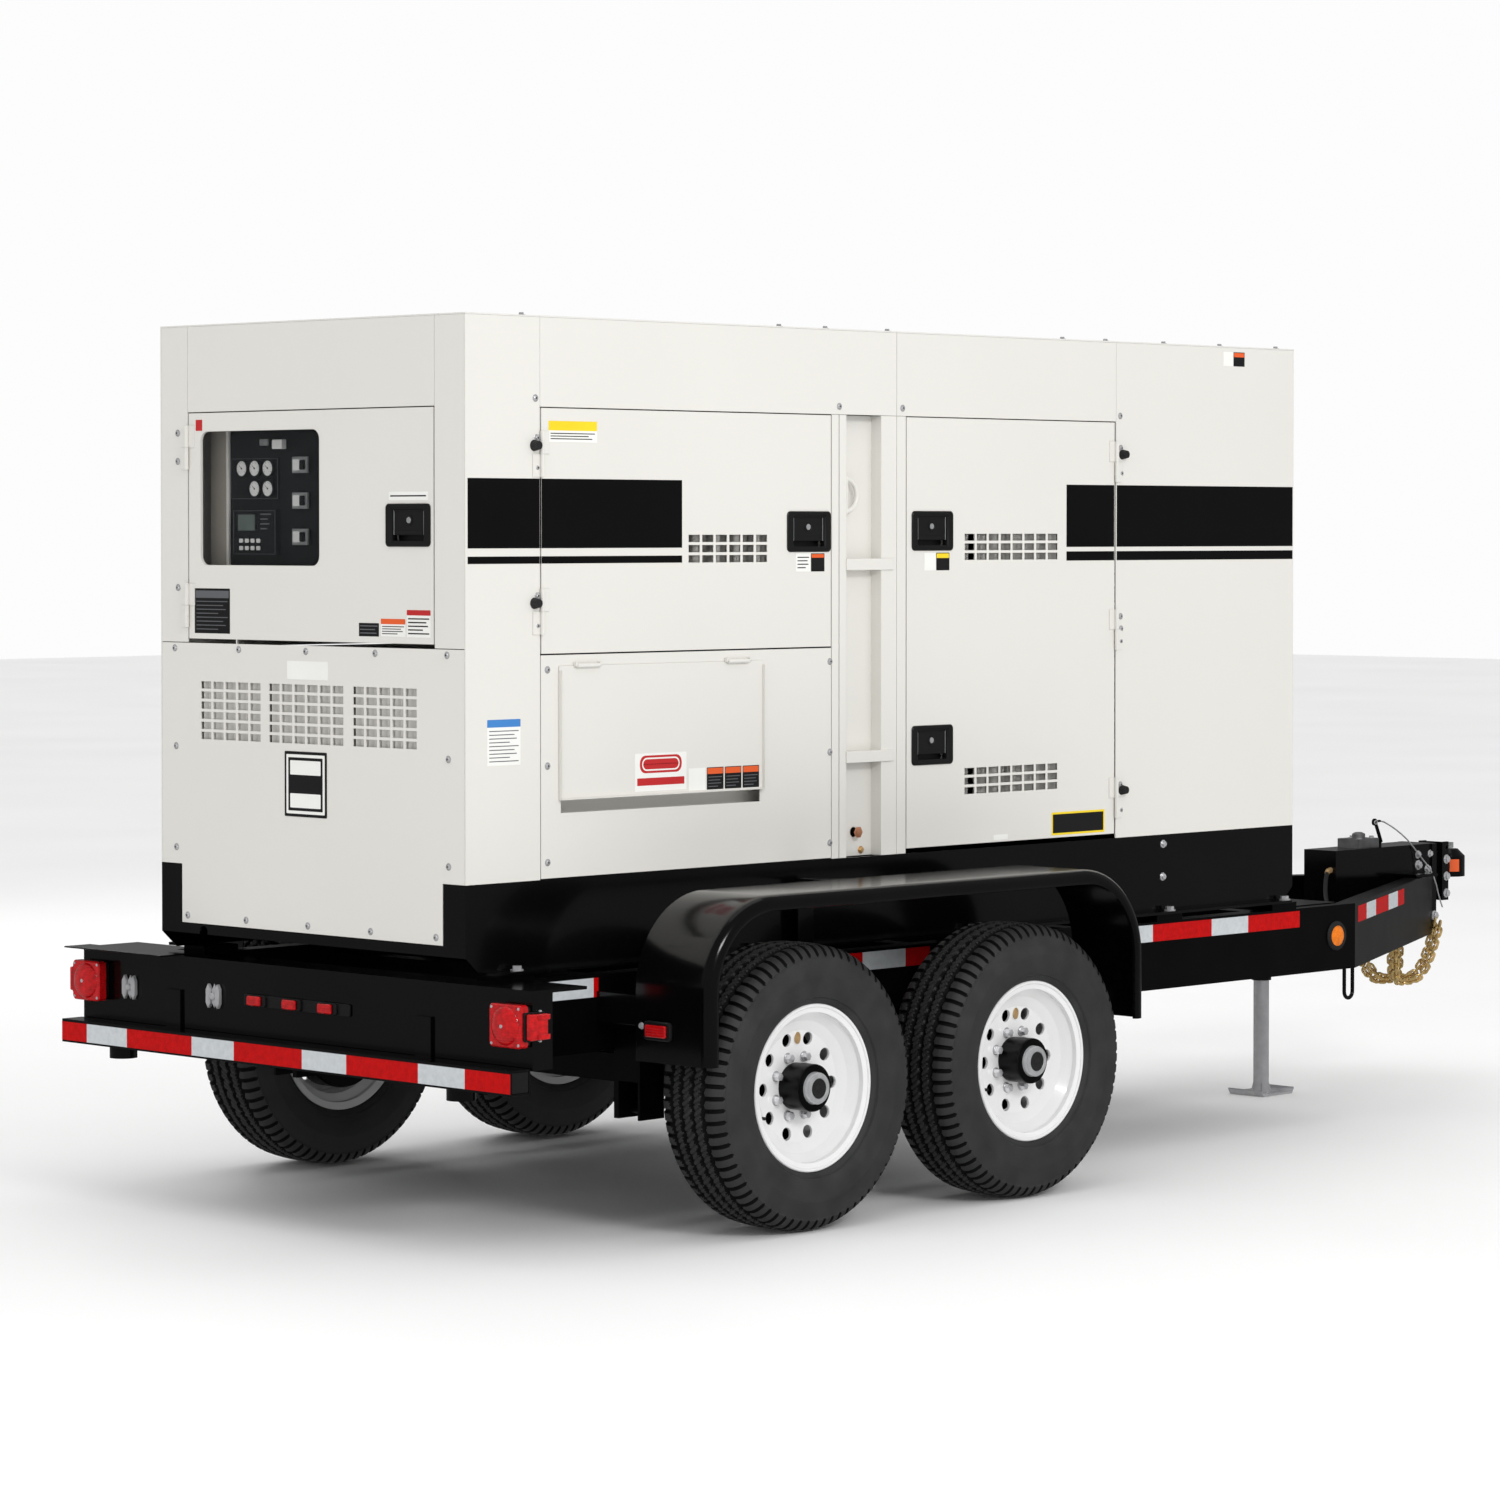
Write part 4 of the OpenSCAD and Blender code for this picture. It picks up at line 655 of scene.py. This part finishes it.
def lines(shape, place, u0, v0, u1, v1, rows, look=K, share=0.35):
    """Plain bars in place of lines of text."""
    step = (v1 - v0) / rows
    for k in range(rows):
        v = v1 - (k + 0.5) * step
        width = (u1 - u0) * (1.0, 0.86, 0.94, 0.7)[k % 4]
        shape.label(place, u0, v - step * share / 2, u0 + width, v + step * share / 2, look, 2, 0)


stripes(RIGHT, "right", "door_right_rear", "door_right_front")
stripes(LEFT, "left", "door_left_rear", "door_left_front")
for name, place in SIDES.items():
    s = Shape()
    s.label(place, 293, 2082, 468, 2137, P)
    s.label(place, 293, 2112, 468, 2137, Y, 1)
    lines(s, place, 300, 2087, 460, 2108, 3)
    s.label(place, 1226, 1738, 1284, 1788, P)
    s.label(place, 1286, 1738, 1340, 1788, K)
    s.label(place, 1288, 1776, 1338, 1786, O, 1)
    lines(s, place, 1232, 1744, 1278, 1782, 4, K, 0.3)
    s.make(f"labels_{name}_bay_door", f"door_{name}_rear", LABEL_LOOKS)
    s = Shape()
    s.label(place, 1752, 1738, 1800, 1788, P)
    s.label(place, 1802, 1738, 1858, 1788, K)
    s.label(place, 1804, 1773, 1856, 1786, Y, 1)
    s.label(place, 2306, 961, 2546, 1028, Y)
    s.label(place, 2312, 967, 2540, 1022, K, 1)
    s.label(place, 2050, 960, 2112, 975, P)
    s.make(f"labels_{name}_engine_door", f"door_{name}_front", LABEL_LOOKS)
    s = Shape()
    s.label(place, 75, 1244, 192, 1363, P)
    s.label(place, 75, 1343, 192, 1363, B, 1)
    lines(s, place, 82, 1250, 185, 1338, 9, G, 0.25)
    s.label(place, 3103, 2350, 3150, 2393, P)
    s.label(place, 3152, 2350, 3206, 2393, K)
    s.label(place, 3154, 2378, 3204, 2391, O, 1)
    s.make(f"labels_{name}_panels", "frame", LABEL_LOOKS)

flap_face = frame_at((-REAR, -HALF - 3, 0), (1, 0, 0), (0, 0, 1), (0, -1, 0))
s = Shape()
s.label(flap_face, 604, 1157, 797, 1258, P)
s.prism(flap_face, rounded(622, 1205, 779, 1252, 20), 0.4, 0.55, 0, R)
s.prism(flap_face, rounded(630, 1211, 771, 1246, 17), 0.55, 0.65, 0, P)
s.prism(flap_face, rounded(634, 1215, 767, 1242, 14), 0.65, 0.75, 0, R)
s.label(flap_face, 612, 1172, 789, 1192, R, 1)
for k in range(4):
    s.label(flap_face, 806 + 69 * k, 1152, 870 + 69 * k, 1212, K if k else P)
    if k:
        s.label(flap_face, 808 + 69 * k, 1194, 868 + 69 * k, 1210, O, 1)
        lines(s, flap_face, 812 + 69 * k, 1156, 864 + 69 * k, 1190, 4, G, 0.25)
s.make("labels_cable_flap", "cable_flap", LABEL_LOOKS)

s = Shape()
s.label(BACK, -474, 1572, -324, 1694, K)
s.label(BACK, -469, 1668, -329, 1688, G, 1)
lines(s, BACK, -466, 1578, -334, 1664, 8, G, 0.22)
s.label(BACK, 206, 1574, 285, 1609, K)
lines(s, BACK, 210, 1578, 280, 1606, 3, G, 0.3)
s.label(BACK, 293, 1575, 389, 1621, P)
s.label(BACK, 293, 1607, 389, 1621, O, 1)
lines(s, BACK, 298, 1579, 384, 1604, 4)
s.label(BACK, 395, 1574, 487, 1645, P)
s.label(BACK, 395, 1631, 487, 1645, R, 1)
lines(s, BACK, 400, 1579, 482, 1627, 5)
s.label(BACK, -468, 2122, -440, 2152, R)
s.label(BACK, 325, 1930, 478, 1952, P)
lines(s, BACK, 331, 1935, 470, 1947, 1, K, 0.3)
s.make("labels_control_door", "control_door", LABEL_LOOKS)

s = Shape()
s.label(BACK, -86, 1455, 81, 1504, P)
s.prism(BACK, rounded(-96, 1089, 76, 1263, 3), 0.1, 1.2, 0.3, K)
s.prism(BACK, rounded(-88, 1097, 68, 1255, 2), 1.2, 1.5, 0, P)
s.prism(BACK, rounded(-80, 1105, 60, 1247, 2), 1.5, 1.8, 0, K)
s.prism(BACK, rounded(-72, 1201, 52, 1239, 2), 1.8, 2.0, 0, P)
s.prism(BACK, rounded(-72, 1113, 52, 1151, 2), 1.8, 2.0, 0, P)
s.make("labels_rear_panel", "frame", LABEL_LOOKS)


# ---------- vent fins behind the lattices ----------

FIN_PITCH, LATTICE_ROW = 52, 27.5


def vent_fins(name, body, place, u0, v0, cols, rows, near=-9, far=-26):
    """Slanted fins behind the lattice, with a dark backing: they run inwards from near to far."""
    s = Shape()
    height = rows * LATTICE_ROW
    for i in range(cols):
        u = u0 + i * FIN_PITCH
        for k in range(2):
            a = u + 1 + 22 * k
            s.loft(place, [[(a, v, near), (a + 17, v, far), (a + 18, v, far + 1), (a + 1, v, near + 1)]
                           for v in (v0 - 6, v0 + height)], 0)
    s.prism(place, rounded(u0 - 14, v0 - 10, u0 + cols * FIN_PITCH + 4, v0 + height + 4), -33, -32, 0, 1)
    s.make(name, body, [WHITE, FOAM])


vent_fins("vent_fins_rear_1", "frame", BACK, -448, 1284, 5, 6)
vent_fins("vent_fins_rear_2", "frame", BACK, -161, 1284, 6, 6)
vent_fins("vent_fins_rear_3", "frame", BACK, 181, 1284, 5, 6)
for name, place in SIDES.items():
    vent_fins(f"vent_fins_{name}_bay", f"door_{name}_rear", place, 809, 1765, 6, 3, -22, -5)
    vent_fins(f"vent_fins_{name}_upper", f"door_{name}_front", place, 1924, 1767, 8, 3, -22, -5)
    vent_fins(f"vent_fins_{name}_lower", f"door_{name}_front", place, 1924, 1097, 8, 3, -22, -5)


# ---------- latches ----------

def latch_bezel(name, body, place, u, v):
    """Rounded bezel on the door around the CAD paddle's cup."""
    s = Shape()
    outer = rounded(u - 4, v - 3, u + 170, v + 109, 12, 6)
    inner = rounded(u + 22, v + 12, u + 144, v + 94, 5, 6)
    rim = rounded(u + 16, v + 6, u + 150, v + 100, 7, 6)
    rings = [(outer, 0.1), (outer, 2.6), (inset(outer, 2.5), 4.6), (rim, 4.6), (inset(rim, 1.5), 2.6),
             (inner, 1.0), (inner, -14.0)]
    s.loft(place, [[(a, b, w) for a, b in ring] for ring, w in rings], 0, caps=False)
    # Back of the cup
    s.prism(place, rounded(u + 20, v + 10, u + 146, v + 96, 5), -24.5, -23.5, 0, 0)
    s.make(name, body, [PLASTIC])


def latch_handle(name, body, place, u, v, node):
    """Recessed pull plate with its thumb lip and key barrel."""
    s = Shape()
    s.prism(place, rounded(u + 25, v + 27, u + 141, v + 91, 4), -8, -2.2, 1.6, 0)
    s.prism(place, rounded(u + 29, v + 27, u + 137, v + 40, 3), -13.5, -1.2, 1.2, 0)
    s.turn(place, (u + 83, v + 66, -2.4), [(15, 0), (15, 1.2), (13, 2.2), (11, 2.2), (10, 1.4)], 28, 0)
    s.turn(place, (u + 83, v + 66, -1.2), [(8.5, 0), (8, 0.8), (2, 0.9)], 20, 1)
    for a in (u + 24.2, u + 140.2):
        s.box(place, (a, v + 28, -12), (a + 1.6, v + 90, -1.0), 0.4, 1)
    s.tube(place, [(u + 26, v + 92, -5), (u + 140, v + 92, -5)], 4.6, 16, 0)
    s.make(name, body, [PLASTIC, STEEL], [node])


LATCHES = [("control", "control_door", BACK, 318, 1812)]
for name, place in SIDES.items():
    LATCHES += [(f"{name}_rear", f"door_{name}_rear", place, 1194, 1795),
                (f"{name}_upper", f"door_{name}_front", place, 1702, 1797),
                (f"{name}_lower", f"door_{name}_front", place, 1702, 1190)]
for name, door, place, u, v in LATCHES:
    latch_bezel("latch_bezel_" + name, door, place, u, v)
    latch_handle("latch_handle_" + name, "latch_" + name, place, u, v, "latch_" + name)


# ---------- control panel and window ----------

s = Shape()
edge, hole = rounded(-452, 1753, 51, 2124, 4, 6), rounded(-447, 1758, 46, 2119, 26, 6)
rings = ((edge, -9.6), (edge, -7.6), (hole, -7.6), (hole, -9.6))
s.loft(BACK, [[(a, b, w) for a, b in ring] for ring, w in rings], 0, caps=False)
# Sheet that rounds the opening's corners
square, hole = rounded(-448.2, 1756.8, 47.2, 2120.2, 0.5, 6), rounded(-447.5, 1757.5, 46.5, 2119.5, 27, 6)
rings = ((square, -7.5), (square, -0.2), (hole, -0.2), (hole, -7.5))
s.loft(BACK, [[(a, b, w) for a, b in ring] for ring, w in rings], 1, caps=False)
s.make("window_gasket", "control_door", [SOFT_RUBBER, WHITE])

face = frame_at((-REAR + 70, 0, 0), (0, -1, 0), (0, 0, 1), (-1, 0, 0))
s = Shape()
for y, z in ((344, 2019), (290, 2019), (235, 2019), (290, 1964), (235, 1964)):
    u = -y
    s.turn(face, (u, z, 4), [(25, 0), (25, 7), (23, 9), (20.5, 9), (20, 7.6)], 36, 0)
    s.turn(face, (u, z, 11.4), [(20.4, 0), (20.3, 0.6)], 36, 1)
    for k in range(11):
        a = math.radians(215 - 25 * k)
        c, d = math.cos(a), math.sin(a)
        r0, r1 = (14.5, 18.5) if k % 2 == 0 else (16.2, 18.5)
        mark = ((r0, -0.5), (r1, -0.5), (r1, 0.5), (r0, 0.5))
        s.prism(face, [(u + r * c - q * d, z + r * d + q * c) for r, q in mark], 12.0, 12.25, 0, 2)
    a = math.radians(140)
    c, d = math.cos(a), math.sin(a)
    needle = ((-3, -1), (14, -0.4), (14, 0.4), (-3, 1))
    s.prism(face, [(u + r * c - q * d, z + r * d + q * c) for r, q in needle], 12.3, 12.6, 0, 2)
    s.turn(face, (u, z, 12.0), [(2.6, 0), (2.2, 1.2)], 12, 2)
# Thin line around the gauge group, controller bezel, screen, keys and blank legends
for u0, v0, u1, v1 in ((-398, 1937, -202, 2046), (-375, 1787, -200, 1905)):
    w = 15.5 if v0 < 1900 else 4.6
    for a, b, c, d in ((u0, v0, u1, v0 + 1), (u0, v1 - 1, u1, v1), (u0, v0, u0 + 1, v1),
                       (u1 - 1, v0, u1, v1)):
        s.prism(face, rounded(a, b, c, d), w - 1, w - 0.2, 0, 3)
s.prism(face, rounded(-360, 1845, -278, 1900, 3), 14.2, 16, 0.5, 0)
s.prism(face, rounded(-354, 1851, -284, 1894, 2), 16, 16.4, 0, 4)
for k in range(4):
    for m in range(2):
        u, v = -348 + 24 * k, 1798 + 20 * m
        s.prism(face, rounded(u, v, u + 16, v + 11, 2), 14.2, 18.6, 1, 5)
for k, z in enumerate((1893, 1880, 1867, 1854)):
    s.prism(face, rounded(-262, z, -262 + (44, 30, 38, 26)[k], z + 4), 14.2, 14.6, 0, 3)
for z in (1834, 1931, 2027):
    s.prism(face, rounded(-134, z - 22, -70, z + 22, 3), 4, 12.5, 1.5, 6)
    s.prism(face, rounded(-128, z - 15, -100, z + 15, 3), 12.5, 14, 0.5, 1)
    s.prism(face, rounded(-97, z - 13, -78, z + 13, 3), 12.5, 19, 2, 0)
s.prism(face, rounded(-206, 2070, -164, 2096, 3), 4, 22, 2, 1)
s.prism(face, rounded(-270, 2080, -236, 2098, 3), 4, 12, 2, 6)
s.prism(face, rounded(-340, 1722, -130, 1742, 2), 0.2, 0.9, 0, 3)
for z in (1712, 2138):
    s.screw(face, -98, z, 4, 6, 0)
s.make("control_panel_fittings", "frame", [PANEL, DIAL, INK, GREY, SCREEN, DIAL, STEEL])

# Inner side wall and backing seen through the window; the side wall is darker beige as painted shade, with
# a narrow strip of the white paint beside it
s = Shape()
s.prism(face, rounded(-488, 1694, -412, 2156), 0.3, 1.2, 0, 2)
s.prism(face, rounded(-414, 1694, -404, 2156), 0.3, 9, 1, 0)
bulkhead = frame_at((-REAR + 258, 0, 0), (0, -1, 0), (0, 0, 1), (-1, 0, 0))
s.prism(bulkhead, rounded(-575, 1600, 575, 2160), 0, 2, 0, 1)
s.make("panel_compartment_lining", "frame", [WHITE, PANEL, PAINTED_SHADE])


# ---------- fender edges, tongue and frame details ----------

def fender_path(steps=20):
    """Points and outward normals, in the x-z plane, along the fender's side outline."""
    low, high, top, r, foot = FENDER_REAR, FENDER_FRONT, 902, 250, 469
    spots = [((low, foot), 180), ((low, (foot + top - r) / 2), 180)]
    spots += [((low + r + r * math.cos(a), top - r + r * math.sin(a)), math.degrees(a))
              for a in np.linspace(math.pi, math.pi / 2, steps)]
    spots += [((low + r + (high - low - 2 * r) * k / 6, top), 90) for k in range(1, 6)]
    spots += [((high - r + r * math.cos(a), top - r + r * math.sin(a)), math.degrees(a))
              for a in np.linspace(math.pi / 2, 0, steps)]
    return spots + [((high, (foot + top - r) / 2), 0), ((high, foot), 0)]


for name, sign in (("right", -1), ("left", 1)):
    s = Shape()
    roll, thick = 27, 3
    section = [(800, 0), (900, 0), (1000, 0), (1036, 0)]
    section += [(FENDER_Y - roll + roll * math.sin(a), -roll + roll * math.cos(a))
                for a in np.linspace(0.1, math.pi / 2, 8)]
    section += [(FENDER_Y, -34), (1064, -40), (1056, -42)]
    section += [(1053, -38), (1063, -35), (1064.5, -30)]
    section += [(FENDER_Y - roll + (roll - thick) * math.sin(a), -roll + (roll - thick) * math.cos(a))
                for a in np.linspace(math.pi / 2, 0.1, 8)]
    section += [(1036, -thick), (1000, -thick), (900, -thick), (800, -thick)]
    rings = []
    for (x, z), degrees in fender_path():
        c, d = math.cos(math.radians(degrees)), math.sin(math.radians(degrees))
        rings.append([(x + n * c, sign * y, z + n * d) for y, n in section])
    s.loft(WORLD, rings if sign < 0 else [list(reversed(r)) for r in rings], 0)
    # Brackets to the rail at both ends, and the arm between the wheels
    mirrored = frame_at((-REAR, 0, 0), (1, 0, 0), (0, sign, 0), (0, 0, 1))
    for x in (440, 2156):
        s.box(mirrored, (x, RAIL_Y, 560), (x + 30, 830, 640), 1, 0)
    s.box(mirrored, (1200, RAIL_Y + 0.4, 640), (1260, RAIL_Y + 8, 897), 1, 0)
    s.box(mirrored, (1200, RAIL_Y + 2, 890), (1260, 830, 898), 1, 0)
    s.make("fender_shell_" + name, "frame", [BLACK], ["fender_" + name])

s = Shape()
# Top lip over the rear beam's left end
s.box(WORLD, (-110, 490, 693), (-20, 915, 697), 0.8, 0)
# Safety hooks under the rails' front corners
for sign in (-1, 1):
    y = sign * 640
    s.tube(WORLD, [(3690, y, 500)] + [(3711 - 21 * math.cos(a), y, 408 - 21 * math.sin(a))
                                      for a in np.linspace(0, math.pi, 13)] + [(3732, y, 500)], 6, 12, 0)
s.make("frame_details", "frame", [BLACK])

# Upturned ends and stiffening ridges of the jack's foot and leg
s = Shape()
for sign in (-1, 1):
    s.loft(WORLD, [[(JACK_X + d * sign, y, z) for d, z in ((75, 0.5), (75, 7.5), (84, 21), (86, 18))]
                   for y in (-70, 70)], 0)
for k in range(4):
    a = math.radians(45 + 90 * k)
    s.tube(WORLD, [(JACK_X + r * math.cos(a), r * math.sin(a), z) for r, z in ((29, 9), (16, 60))], 4, 8, 0)
s.make("jack_foot_fittings", "jack_leg", [CHROME])

s = Shape()
for sign in (-1, 1):
    place = frame_at((-REAR, sign * ACTUATOR_Y, 0), (1, 0, 0), (0, 0, 1), (0, sign, 0))
    for u, v, r in ((4860, 752, 9), (4862, 716, 11), (4915, 700, 10), (4930, 752, 8)):
        s.bolt(place, u, v, 0.1, r, 0)
    s.bolt(place, 4948, 540, 6.1, 11, 0)
for x, y in ((4580, -30), (4620, 30), (4655, -25)):
    s.bolt(WORLD, x, y, 816.2, 7, 0)
s.turn(WORLD, (4590, -20, 829), [(22, 0), (22, 3), (19, 6), (17, 6), (12, 9), (6, 9.6)], 28, 1)
s.make("actuator_bolts", "frame", [CHROME, CAST])

# Brake hose at the actuator's rear, with its brass fittings
s = Shape()
hose = [(4402, -45, 722), (4390, -46, 720), (4378, -49, 710), (4366, -54, 694), (4353, -62, 676),
        (4338, -73, 660), (4320, -88, 646), (4298, -106, 637), (4272, -128, 632),
        (4242, -150, 631), (4210, -180, 631)]
s.tube(WORLD, hose, 7, 12, 0)
s.tube(WORLD, [(4403, -45, 722), (4388, -46, 719.5)], 10, 6, 1)
s.tube(WORLD, [(4388, -46, 719.5), (4379, -48, 712)], 8.6, 12, 1)
s.make("brake_hose", "frame", [SOFT_RUBBER, BRASS])

s = Shape()
# Blank orange patch around the coupler's head, and the clamp bolts
arc = [math.radians(a) for a in range(205, 256, 5)]
s.loft(WORLD, [[(COUPLER_X + r * math.cos(a), r * math.sin(a), z)
                for r, around in ((54.8, arc), (54.2, list(reversed(arc)))) for a in around]
               for z in (680, 722)], 0)
for z in (610, 668, 726):
    for sign in (-1, 1):
        place = frame_at((-REAR, sign * 50, 0), (1, 0, 0), (0, 0, 1), (0, sign, 0))
        s.bolt(place, 5047, z, 0.1, 10, 1)
s.make("coupler_fittings", "coupler", [ORANGE, CHROME])


# ---------- breakaway cable loops, chains ----------

s = Shape()
loop = [(4668 + 8 * math.cos(a), -34, 868 + 6 * math.sin(a)) for a in circle(16)]
s.tube(WORLD, loop, 2.2, 8, 0, closed=True)
s.tube(WORLD, [(4676, -34, 872), (4690, -35, 872)], 4, 10, 1)
s.make("breakaway_cable_ends", "frame", [STEEL, PLASTIC])

s = Shape()
drop, span, first, apart, sway, hung, pitch = 200.0, 250.0, 4950.0, 96.0, 58.0, 520.0, 22
curve = [Vector((first - span * t, apart - sway * (1 - (2 * t - 1) ** 2),
                 hung - drop * (1 - (2 * t - 1) ** 4)))
         for t in np.linspace(0, 1, 61)]
lengths = np.cumsum([0] + [(b - a).length for a, b in zip(curve, curve[1:])])
count = int((lengths[-1] - 30) // pitch)
for sign, aside, lift in ((-1, 0, 0), (1, 0, 0), (-1, -20, 14), (1, -20, 14)):
    for k in range(count + 1):
        d = 15 + pitch * k
        at, ahead = (Vector([np.interp(q, lengths, [p[j] for p in curve]) for j in range(3)])
                     for q in (d, d + 4))
        at.y, ahead.y = (at.y + aside) * sign, (ahead.y + aside) * sign
        at.z, ahead.z = at.z + lift, ahead.z + lift
        t = (ahead - at).normalized()
        side = Vector((0, 1, 0))
        up = t.cross(side)
        roll = math.radians(45 if k % 2 == 0 else -45)
        n = side * math.cos(roll) + up * math.sin(roll)
        ring = []
        for a in circle(20):
            along = 7.5 * (1 if math.cos(a) > 0 else -1) + 10.2 * math.cos(a)
            ring.append(tuple(at + t * along + n * (10.4 * math.sin(a))))
        s.tube(WORLD, ring, 4.4, 8, 0, closed=True)
s.make("safety_chain_links", "frame", [ZINC], ["safety_chains"])

# Pale tray inside the cable opening
s = Shape()
s.box(RIGHT, (337, 1098, -60), (1262, 1104, -5), 0.5, 0)
s.box(RIGHT, (337, 1098, -64), (1262, 1180, -60), 0.5, 0)
s.make("cable_tray", "frame", [WHITE])

# End caps of the bumper
s = Shape()
for sign in (-1, 1):
    place = frame_at((-REAR, sign * BEAM_Y, 0), (1, 0, 0), (0, 0, 1), (0, sign, 0))
    s.prism(place, rounded(-112.5, 437.5, -55.5, 490.5, 3), -4, -0.6, 1, 0)
s.make("bumper_end_caps", "frame", [PLASTIC])


# ---------- side columns ----------

s = Shape()
for sign in (-1, 1):
    place = frame_at((-REAR, sign * (HALF - 39), 0), (1, 0, 0), (0, 0, 1), (0, sign, 0))
    for u in (1442, 1529):
        s.bolt(place, u, 956, 0.1, 7, 0)
    s.turn(place, (1500, 1007, 18), [(17, 0), (17, 2), (15, 3)], 6, 1)
    s.turn(place, (1500, 1007, 20), [(11, 0), (10, 4), (4, 5)], 20, 1)
s.make("column_fittings", "frame", [BRASS, COPPER])


# ---------- floor, lights and finish ----------

make_camera()
bpy.ops.mesh.primitive_grid_add(x_subdivisions=4, y_subdivisions=4, size=90)
floor = bpy.context.object
floor.name = "floor"
floor.data.materials.append(FLOOR)
floor.visible_glossy = False


def studio_world(seen, glossy, lit):
    """A white backdrop to the camera that lights softly and reflects little in the black paint."""
    world = bpy.data.worlds.new("studio")
    world.use_nodes = True
    tree = world.node_tree
    path = tree.nodes.new("ShaderNodeLightPath")
    strength = None
    for socket, low, high in (("Is Glossy Ray", lit, glossy), ("Is Camera Ray", None, seen)):
        mix = tree.nodes.new("ShaderNodeMix")
        mix.inputs["B"].default_value = high
        tree.links.new(path.outputs[socket], mix.inputs["Factor"])
        if strength is None:
            mix.inputs["A"].default_value = low
        else:
            tree.links.new(strength, mix.inputs["A"])
        strength = mix.outputs["Result"]
    background = tree.nodes["Background"]
    background.inputs["Color"].default_value = (1, 1, 1, 1)
    tree.links.new(strength, background.inputs["Strength"])
    bpy.context.scene.world = world


studio_world(0.98, 0.17, 0.95)
area_light("key", (-4.0, -9.5, 6.0), (0.3, 0.0, 1.2), (3.2, 1.6), 280)
area_light("top", (0.0, 0.0, 9.0), (0.0, 0.0, 0.0), (7, 5), 60)
area_light("left_fill", (2.0, 9.0, 5.0), (0.0, 0.0, 1.2), (3.2, 1.6), 80)
bpy.context.scene.view_settings.view_transform = "Standard"
